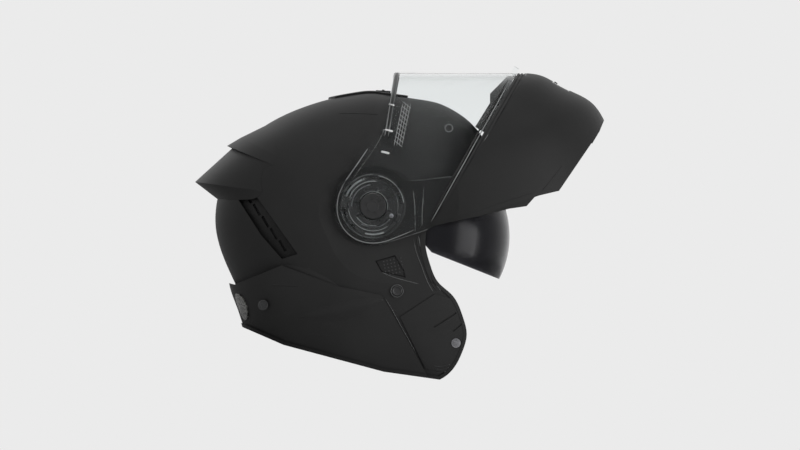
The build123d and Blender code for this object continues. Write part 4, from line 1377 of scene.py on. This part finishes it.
@dataclass
class PivotMechanism:
    """The toothed detent plate, its springs, its screw and painted highlight arcs on the plate, seen through
    the visor's round end.
    """

    shop: Workshop
    outer_radius: float = 0.031
    inner_radius: float = 0.00705
    plate_rings: int = 132
    plate_spokes: int = 540
    base_level: float = 0.22
    level_limits: Pair = (0.04, 0.97)
    soft_edge: float = 0.00012
    soft_end: float = 0.02
    teeth: int = 72
    ribs: int = 8
    lobes: int = 6
    raised: tuple = (
        PlateRing(0.0285, 0.0320, 0.95),
        PlateRing(0.0258, 0.0281, 1.0, ((20, 128), (196, 250)), Wave.TEETH),
        PlateRing(0.0232, 0.0240, 0.6),
        PlateRing(0.0243, 0.0285, 0.75, ((340, 358), (150, 172))),
        PlateRing(0.0136, 0.0182, 0.7, (), Wave.RIBS),
        PlateRing(0.0132, 0.0142, 0.82),
        PlateRing(0.0, 0.0118, 0.8),
    )
    sunk: tuple = (
        PlateRing(0.0088, 0.0108, 0.35, (), Wave.LOBES),
        PlateRing(0.0186, 0.0218, 0.18, ((108, 200), (248, 340))),
    )
    coil_turns: int = 34
    coil_radius: float = 0.00055
    coil_steps: int = 12
    coil_level: float = 0.78
    wire_radius: float = 0.00019
    wire_sides: int = 5
    spring_radius: float = 0.0202
    spring_spans: tuple = ((112, 196), (252, 336))
    screw_turn: float = -13.0
    screw_ring: float = 0.0198
    screw_radius: float = 0.0021
    screw_grid: tuple[int, int] = (18, 48)
    slot_width: float = 0.16
    slot_reach: float = 0.66
    track_rise: float = 0.00009
    track_taper: float = 0.06
    track_sunk: float = 0.01
    track_points: int = 90
    # Arcs about the hinge in the pale edge finishes: painted highlights along the plate's rings.
    tracks: tuple = (
        (0.0270, 119, 176, 0.0019, "bright_edge"), (0.0302, 104, 170, 0.0009, "dull_edge"),
        (0.0302, 206, 300, 0.0009, "dull_edge"), (0.0292, 20, 96, 0.0007, "bright_edge"),
        (0.0236, 96, 176, 0.0008, "bright_edge"), (0.0236, 200, 322, 0.0007, "bright_edge"),
        (0.0236, 2, 60, 0.0006, "dull_edge"), (0.0186, 228, 296, 0.0010, "bright_edge"),
        (0.0137, 0, 170, 0.0006, "bright_edge"), (0.0137, 190, 340, 0.0006, "dull_edge"),
        (0.0270, 268, 308, 0.0017, "bright_edge"),
    )

    def depths(self, side: Side) -> Pair:
        """How far the plate's back and its front are from the middle plane."""
        low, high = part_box(f"visor_ratchet_{side.word}")
        return tuple(sorted((abs(low.y), abs(high.y))))

    def spot(self, radius: Array, turn: Array, y: Array) -> Array:
        """Gives points by their distance from the hinge, their angle about it and their Y."""
        plane = self.shop.plane
        return np.stack([plane.hinge_x + radius * np.cos(turn), y, plane.hinge_z + radius * np.sin(turn)], -1)

    def level(self, radius: Array, turn: Array) -> Array:
        """Gives the plate's relief as a share of its depth, from rings, teeth, ribs and lobes.

        Args:
            radius: Distance from the hinge.
            turn: Angle about it.

        Returns:
            The relief, 0 to 1.
        """
        waves = {
            Wave.EVEN: np.ones_like(turn),
            Wave.TEETH: 0.35 + 0.5 * np.clip(0.5 + 0.9 * np.sin(self.teeth * turn), 0, 1),
            Wave.RIBS: np.clip(1.6 * np.cos(self.ribs * turn) - 0.9, 0, 1),
            Wave.LOBES: np.clip(0.5 + 1.4 * np.cos(self.lobes * turn), 0, 1),
        }

        def arc(start: float, end: float) -> Array:
            """Gives 1 between two angles in degrees, with soft ends."""
            middle, half = math.radians((start + end) / 2), math.radians((end - start) / 2)
            away = np.abs((turn - middle + math.pi) % FULL_TURN - math.pi)
            return 1 / (1 + np.exp((away - half) / self.soft_end))

        def stand(ring: PlateRing) -> Array:
            """Gives one ring's height, with soft flanks."""
            inner = 1 / (1 + np.exp(-(radius - ring.low) / self.soft_edge))
            outer = 1 / (1 + np.exp((radius - ring.high) / self.soft_edge))
            filled = np.max([arc(*span) for span in ring.spans], axis=0) if ring.spans else 1.0
            return ring.height * waves[ring.wave] * inner * outer * filled

        height = np.full_like(radius, self.base_level)
        for ring in self.raised:
            height = np.maximum(height, stand(ring))
        for ring in self.sunk:
            height = height - stand(ring)
        return np.clip(height, *self.level_limits)

    def plate(self, side: Side) -> None:
        """Builds the detent plate: a grid of rings whose Y is the back face plus the relief.

        Args:
            side: The side that it is on.
        """
        near, far = self.depths(side)
        radius = np.linspace(self.inner_radius, self.outer_radius, self.plate_rings)
        r, a = np.meshgrid(radius, around(self.plate_spokes), indexing="ij")
        depth = near + (far - near) * self.level(r, a)
        back = np.full((1, self.plate_spokes), near)
        y = np.concatenate([back, depth, back])
        r, a = (np.concatenate([grid[:1], grid, grid[-1:]]) for grid in (r, a))
        faces = tube_faces(len(r), self.plate_spokes, True)
        piece = new_piece(f"detent_plate_{side.word}", self.spot(r, a, side.value * y), faces)
        dress = Dress("chin_bar", "detent_plastic", "black_plastic")
        self.shop.enter(piece, dress, f"visor_ratchet_{side.word}")

    def spring(self, side: Side, start: float, end: float, index: int) -> None:
        """Builds one arc spring: a helix about an arc, as a thin round wire.

        Args:
            side: The side that it is on.
            start: Where its arc starts, in degrees.
            end: Where its arc ends, in degrees.
            index: Its number.
        """
        near, far = self.depths(side)
        middle = side.value * (near + self.coil_level * (far - near) - self.coil_radius)
        along = np.linspace(0, 1, self.coil_turns * self.coil_steps)
        arc, coil = np.radians(start + (end - start) * along), FULL_TURN * self.coil_turns * along
        reach = self.spring_radius + self.coil_radius * np.cos(coil)
        path = self.spot(reach, arc, middle + self.coil_radius * np.sin(coil))
        centre = self.spot(self.spring_radius, arc, np.full_like(arc, middle))
        wire = oval(self.wire_radius, self.wire_radius, self.wire_sides)
        made = carried_section(path, unit(path - centre), wire)
        piece = new_piece(f"detent_spring_{index}_{side.word}", *made)
        self.shop.enter(piece, Dress("chin_bar", "steel", "steel"))

    def screw(self, side: Side) -> None:
        """Builds the small pan-head screw: a turned dome with a crossed slot pressed into it.

        Args:
            side: The side that it is on.
        """
        near, far = self.depths(side)
        rings, spokes = self.screw_grid
        share, a = np.meshgrid(np.linspace(0.02, 1, rings), around(spokes), indexing="ij")
        px, pz = share * np.cos(a), share * np.sin(a)
        off_slot = np.minimum(np.abs(px), np.abs(pz)) / self.slot_width
        slot = np.exp(-off_slot ** 4) * (share < self.slot_reach)
        depth = near + (far - near) * np.clip(0.98 - 0.35 * share**2 - 0.3 * slot, 0.2, 1)
        depth = np.concatenate([depth, np.full((1, spokes), near)])
        px, pz = (np.concatenate([grid, grid[-1:]]) for grid in (px, pz))
        middle = self.spot(self.screw_ring, math.radians(self.screw_turn), 0.0)
        points = middle + np.stack([self.screw_radius * px, side.value * depth, self.screw_radius * pz], -1)
        piece = new_piece(f"detent_screw_{side.word}", points, tube_faces(rings + 1, spokes))
        self.shop.enter(piece, Dress("chin_bar", "steel", "steel"))

    def track(self, side: Side, index: int) -> None:
        """Lays a painted highlight on the plate: a flat oval in a pale edge finish, carried along an arc
        about the hinge.

        Args:
            side: The side that it is on.
            index: Its number in the list.
        """
        radius, start, end, width, finish = self.tracks[index]
        near, far = self.depths(side)
        arc = np.radians(np.linspace(start, end, self.track_points))
        level = near + (far - near) * (self.level(np.full_like(arc, radius), arc) - self.track_sunk)
        path = eased(self.spot(radius, arc, side.value * level), 3)
        normals = np.tile(side.outward, (len(arc), 1))
        made = carried_section(path, normals, oval(width / 2, self.track_rise), self.track_taper)
        piece = new_piece(f"detent_track_{index}_{side.word}", *made)
        self.shop.enter(piece, Dress("chin_bar", finish, "black_plastic"))

    def build(self) -> None:
        """Builds both sides' mechanisms."""
        for side in Side:
            self.plate(side)
            self.screw(side)
            for index in range(len(self.tracks)):
                self.track(side, index)
            for index, (start, end) in enumerate(self.spring_spans):
                self.spring(side, start, end, index)


@dataclass
class ChinWebbing:
    """The two woven chin straps, which stand for the frame's plain bands."""

    shop: Workshop
    half_thick: float = 0.0011
    fullness: float = 0.92
    edge_gap: float = 0.0002
    section_sides: int = 28
    section_powers: Pair = (0.25, 0.55)
    points: int = 110
    neck_y: float = 0.03
    above_z: float = 0.03
    flat_y: float = 0.1
    bend_z: float = 0.045
    top_gap: float = 0.0006
    bend_rise: float = 0.012
    end_lap: float = 0.0005
    ray_counts: tuple[int, int] = (40, 60)
    stitch_radius: float = 0.00028
    stitch_length: float = 0.0021
    stitch_rings: int = 5
    stitch_sides: int = 6
    stitches_on_leg: int = 6
    stitch_level: float = 0.95
    look_ahead: float = 0.001
    box_share: float = 0.36
    box_length: float = 0.013
    first_box: float = 0.006
    last_box: float = 0.021

    def middle(self, side: Side) -> tuple[Array, Array, float]:
        """Finds the band's middle line from its own faces: rays out from the neck, then rays down.

        Args:
            side: The strap's side.

        Returns:
            The middle points, the normals towards the neck and the band's width.
        """
        low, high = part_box(f"chin_strap_{side.word}")
        x = (low.x + high.x) / 2
        skin = self.shop.skin(f"chin_strap_{side.word}")
        down_count, flat_count = self.ray_counts
        z = np.linspace(high.z - self.top_gap, low.z + self.bend_rise, down_count)
        starts = np.stack([np.full_like(z, x), np.full_like(z, side.value * self.neck_y), z], 1)
        down, down_normals, met_down = skin.touch(starts, side.outward)
        y = np.linspace(self.flat_y, min(abs(low.y), abs(high.y)) + self.end_lap, flat_count) * side.value
        starts = np.stack([np.full_like(y, x), y, np.full_like(y, self.above_z)], 1)
        flat, flat_normals, met_flat = skin.touch(starts, np.array([0.0, 0.0, -1.0]))
        points = np.concatenate([down[met_down], flat[met_flat]])
        normals = np.concatenate([down_normals[met_down], flat_normals[met_flat]])
        bend = np.arctan2(self.bend_z - points[:, 2], side.value * points[:, 1] - self.neck_y)
        order = np.argsort(bend)[::2]
        run = eased(points[order], 2) - unit(eased(normals[order], 6)) * self.half_thick
        middle = evenly(run, self.points)
        up = unit(np.cross(unit(np.gradient(middle, axis=0)), ALONG_X)) * side.value
        return middle, up, high.x - low.x

    def band(self, side: Side) -> None:
        """Builds one band: a rounded flat section, powers of a cosine and a sine, with its own map.

        Args:
            side: The strap's side.
        """
        middle, up, width = self.middle(side)
        c, s = np.cos(around(self.section_sides)), np.sin(around(self.section_sides))
        wide, tall = self.section_powers
        half = width / 2 - self.edge_gap
        section = np.stack([half * np.sign(c) * np.abs(c) ** wide,
                            self.half_thick * self.fullness * np.sign(s) * np.abs(s) ** tall], 1)
        piece = new_piece(f"woven_strap_{side.word}", *carried_section(middle, up, section))
        along = np.repeat(reaches(middle), len(section))
        own = np.stack([along, np.tile(section[:, 0] / width + 0.5, len(middle))], 1)
        corners = np.zeros(len(piece.data.loops), int)
        piece.data.loops.foreach_get("vertex_index", corners)
        piece.data.uv_layers.new(name="UVMap").data.foreach_set("uv", own[corners].ravel())
        self.shop.enter(piece, Dress("root", "strap_webbing", "webbing"), f"chin_strap_{side.word}")
        self.stitches(side, middle, up, width)

    def stitches(self, side: Side, middle: Array, up: Array, width: float) -> None:
        """Sews a crossed box near each end: short raised stitches on both faces, all in one piece.

        Args:
            side: The strap's side.
            middle: The band's middle line.
            up: The band's normals.
            width: The band's width.
        """
        along = reaches(middle)
        half, tall = width * self.box_share, self.box_length
        box = np.array([(-half, 0), (half, 0), (half, tall), (-half, tall),
                        (-half, 0), (half, tall), (half, 0), (-half, tall)])
        legs = [evenly(np.stack([a, (a + b) / 2, b]), self.stitches_on_leg + 1) for a, b in zip(box, box[1:])]
        spots = np.concatenate([(leg[:-1] + leg[1:]) / 2 for leg in legs])
        ways = unit(np.concatenate([np.diff(leg, axis=0) for leg in legs]))

        def read(rows: Array, at: Array) -> Array:
            """Reads the rows at places along the strap."""
            return np.stack([np.interp(at, along, column) for column in rows.T], 1)

        sets = []
        for start in (self.first_box, along[-1] - self.last_box):
            for face in (1, -1):
                at = start + spots[:, 1]
                centre, normal = read(middle, at), unit(read(up, at)) * face
                ahead = unit(read(middle, at + self.look_ahead) - centre)
                centre = centre + ALONG_X * spots[:, :1] + normal * self.half_thick * self.stitch_level
                run = ALONG_X * ways[:, :1] + ahead * ways[:, 1:]
                sets.append((centre, np.cross(run, normal), normal, run))
        step = np.linspace(-0.5, 0.5, self.stitch_rings)
        fat = self.stitch_radius * np.sqrt(np.clip(1 - (1.9 * step) ** 2, 0.05, 1))
        joined = (np.concatenate(rows) for rows in zip(*sets))
        made = knobs(*joined, fat, step * self.stitch_length, self.stitch_sides)
        piece = new_piece(f"strap_stitches_{side.word}", *made)
        self.shop.enter(piece, Dress("root", "stitch_thread", "webbing"))

    def build(self) -> None:
        """Builds both straps."""
        for side in Side:
            self.band(side)


class PadPlan(Enum):
    """How each pad is sewn: its node, the most it may swell, and its channels' gap and direction."""

    CROWN = ("crown_pad", 0.005, 0.030, (0.0, 1.0, 0.0))
    CHEEK_RIGHT = ("cheek_pad_right", 0.006, 0.026, (0.8, 0.0, -0.6))
    CHEEK_LEFT = ("cheek_pad_left", 0.006, 0.026, (0.8, 0.0, -0.6))
    NECK = ("neck_roll", 0.004, 0.0, (0.0, 0.0, 0.0))

    def __init__(self, node: str, cap: float, channel: float, way: tuple[float, float, float]) -> None:
        """Names the plan's values."""
        self.node, self.cap, self.channel, self.way = node, cap, channel, way


@dataclass
class SewnLining:
    """The cushions against the head: each is the frame's solid, shrunk, swollen as cloth and sewn."""

    shop: Workshop
    voxel: float = 0.0045
    weld: float = 0.00001
    shrink: float = 0.0022
    channel_depth: float = 0.0022
    channel_width: float = 0.0026
    pressure: float = 4.0
    last_frame: int = 20
    fill: float = 0.8

    def start(self, plan: PadPlan) -> Piece:
        """Remeshes a copy of the pad's solid evenly and draws it in along its normals.

        Args:
            plan: The pad.

        Returns:
            The shrunk piece.
        """
        source = self.shop.frame["nodes"][plan.node]
        piece = bpy.data.objects.new(f"sewn_{plan.node}", source.data.copy())
        bpy.context.scene.collection.objects.link(piece)
        piece.modifiers.new("weld", "WELD").merge_threshold = self.weld
        remesh = piece.modifiers.new("even", "REMESH")
        remesh.mode, remesh.voxel_size = "VOXEL", self.voxel
        self.settle(piece)
        points, normals = self.read(piece)
        self.write(piece, points - normals * self.shrink)
        return piece

    def settle(self, piece: Piece) -> None:
        """Applies every modifier of a piece.

        Args:
            piece: The piece.
        """
        graph = bpy.context.evaluated_depsgraph_get()
        mesh = bpy.data.meshes.new_from_object(piece.evaluated_get(graph))
        piece.modifiers.clear()
        piece.data = mesh

    def read(self, piece: Piece) -> tuple[Array, Array]:
        """Reads a piece's points and vertex normals.

        Args:
            piece: The piece.

        Returns:
            The points and the normals, one per row.
        """
        points, normals = (np.zeros(len(piece.data.vertices) * 3) for _ in range(2))
        piece.data.vertices.foreach_get("co", points)
        piece.data.vertices.foreach_get("normal", normals)
        return points.reshape(-1, 3), normals.reshape(-1, 3)

    def write(self, piece: Piece, points: Array) -> None:
        """Writes a piece's points back."""
        piece.data.vertices.foreach_set("co", np.asarray(points).ravel())
        piece.data.update()

    def swell(self, pads: dict) -> None:
        """Swells all pads at once as cloth under pressure, and caps how far each point goes.

        Args:
            pads: The pieces by plan.
        """
        before = {plan: self.read(piece)[0] for plan, piece in pads.items()}
        for piece in pads.values():
            cloth = piece.modifiers.new("cloth", "CLOTH")
            cloth.settings.quality = 5
            cloth.settings.mass = 0.3
            cloth.settings.use_pressure = True
            cloth.settings.uniform_pressure_force = self.pressure
            cloth.settings.effector_weights.gravity = 0.0
            cloth.point_cache.frame_start, cloth.point_cache.frame_end = 1, self.last_frame
        for step in range(1, self.last_frame + 1):
            bpy.context.scene.frame_set(step)
        graph = bpy.context.evaluated_depsgraph_get()
        for plan, piece in pads.items():
            shaped = piece.evaluated_get(graph).to_mesh()
            after = np.zeros(len(shaped.vertices) * 3)
            shaped.vertices.foreach_get("co", after)
            piece.evaluated_get(graph).to_mesh_clear()
            piece.modifiers.clear()
            move = after.reshape(-1, 3) - before[plan]
            length = np.linalg.norm(move, axis=1, keepdims=True)
            self.write(piece, before[plan] + move * np.minimum(1, plan.cap / np.maximum(length, 1e-9)))
        bpy.context.scene.frame_set(1)

    def sew(self, plan: PadPlan, piece: Piece) -> None:
        """Adds one subdivision, then presses in the channels: a bell-shaped dip across each line.

        Args:
            plan: The pad.
            piece: Its swollen piece.
        """
        finer = piece.modifiers.new("finer", "SUBSURF")
        finer.levels = finer.render_levels = 1
        self.settle(piece)
        if plan.channel:
            points, normals = self.read(piece)
            away = np.abs((points @ np.array(plan.way) / plan.channel) % 1 - 0.5) * plan.channel
            dip = self.channel_depth * np.exp(-(away / self.channel_width) ** 2)
            self.write(piece, points - normals * dip[:, None])
        piece.data.polygons.foreach_set("use_smooth", np.ones(len(piece.data.polygons), bool))

    def build(self) -> None:
        """Builds every pad."""
        pads = {plan: self.start(plan) for plan in PadPlan}
        self.swell(pads)
        for plan, piece in pads.items():
            self.sew(plan, piece)
            finish = "neck_cloth" if plan is PadPlan.NECK else "lining_cloth"
            self.shop.enter(piece, Dress("root", finish, "lining"), plan.node)


def main() -> None:
    """Builds the stage, dresses the frame and adds the sewn and fine pieces, in order."""
    logging.basicConfig(level=logging.INFO, format="%(name)s: %(message)s")
    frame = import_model()
    plane = PhotoPlane()
    HelmetStage(plane).build()
    finishes = Finishes()
    LOG.info("dressed %d carried nodes", CarriedNodes(finishes, frame["nodes"]).build())
    shop = Workshop(frame, finishes, plane)
    for crew in (PivotMechanism, FineLines, SmallHardware, VentGauze, BrowBand, ChinWebbing, SewnLining):
        crew(shop).build()
    LOG.info("made %d new pieces", shop.count)


if __name__ == "__main__":
    main()
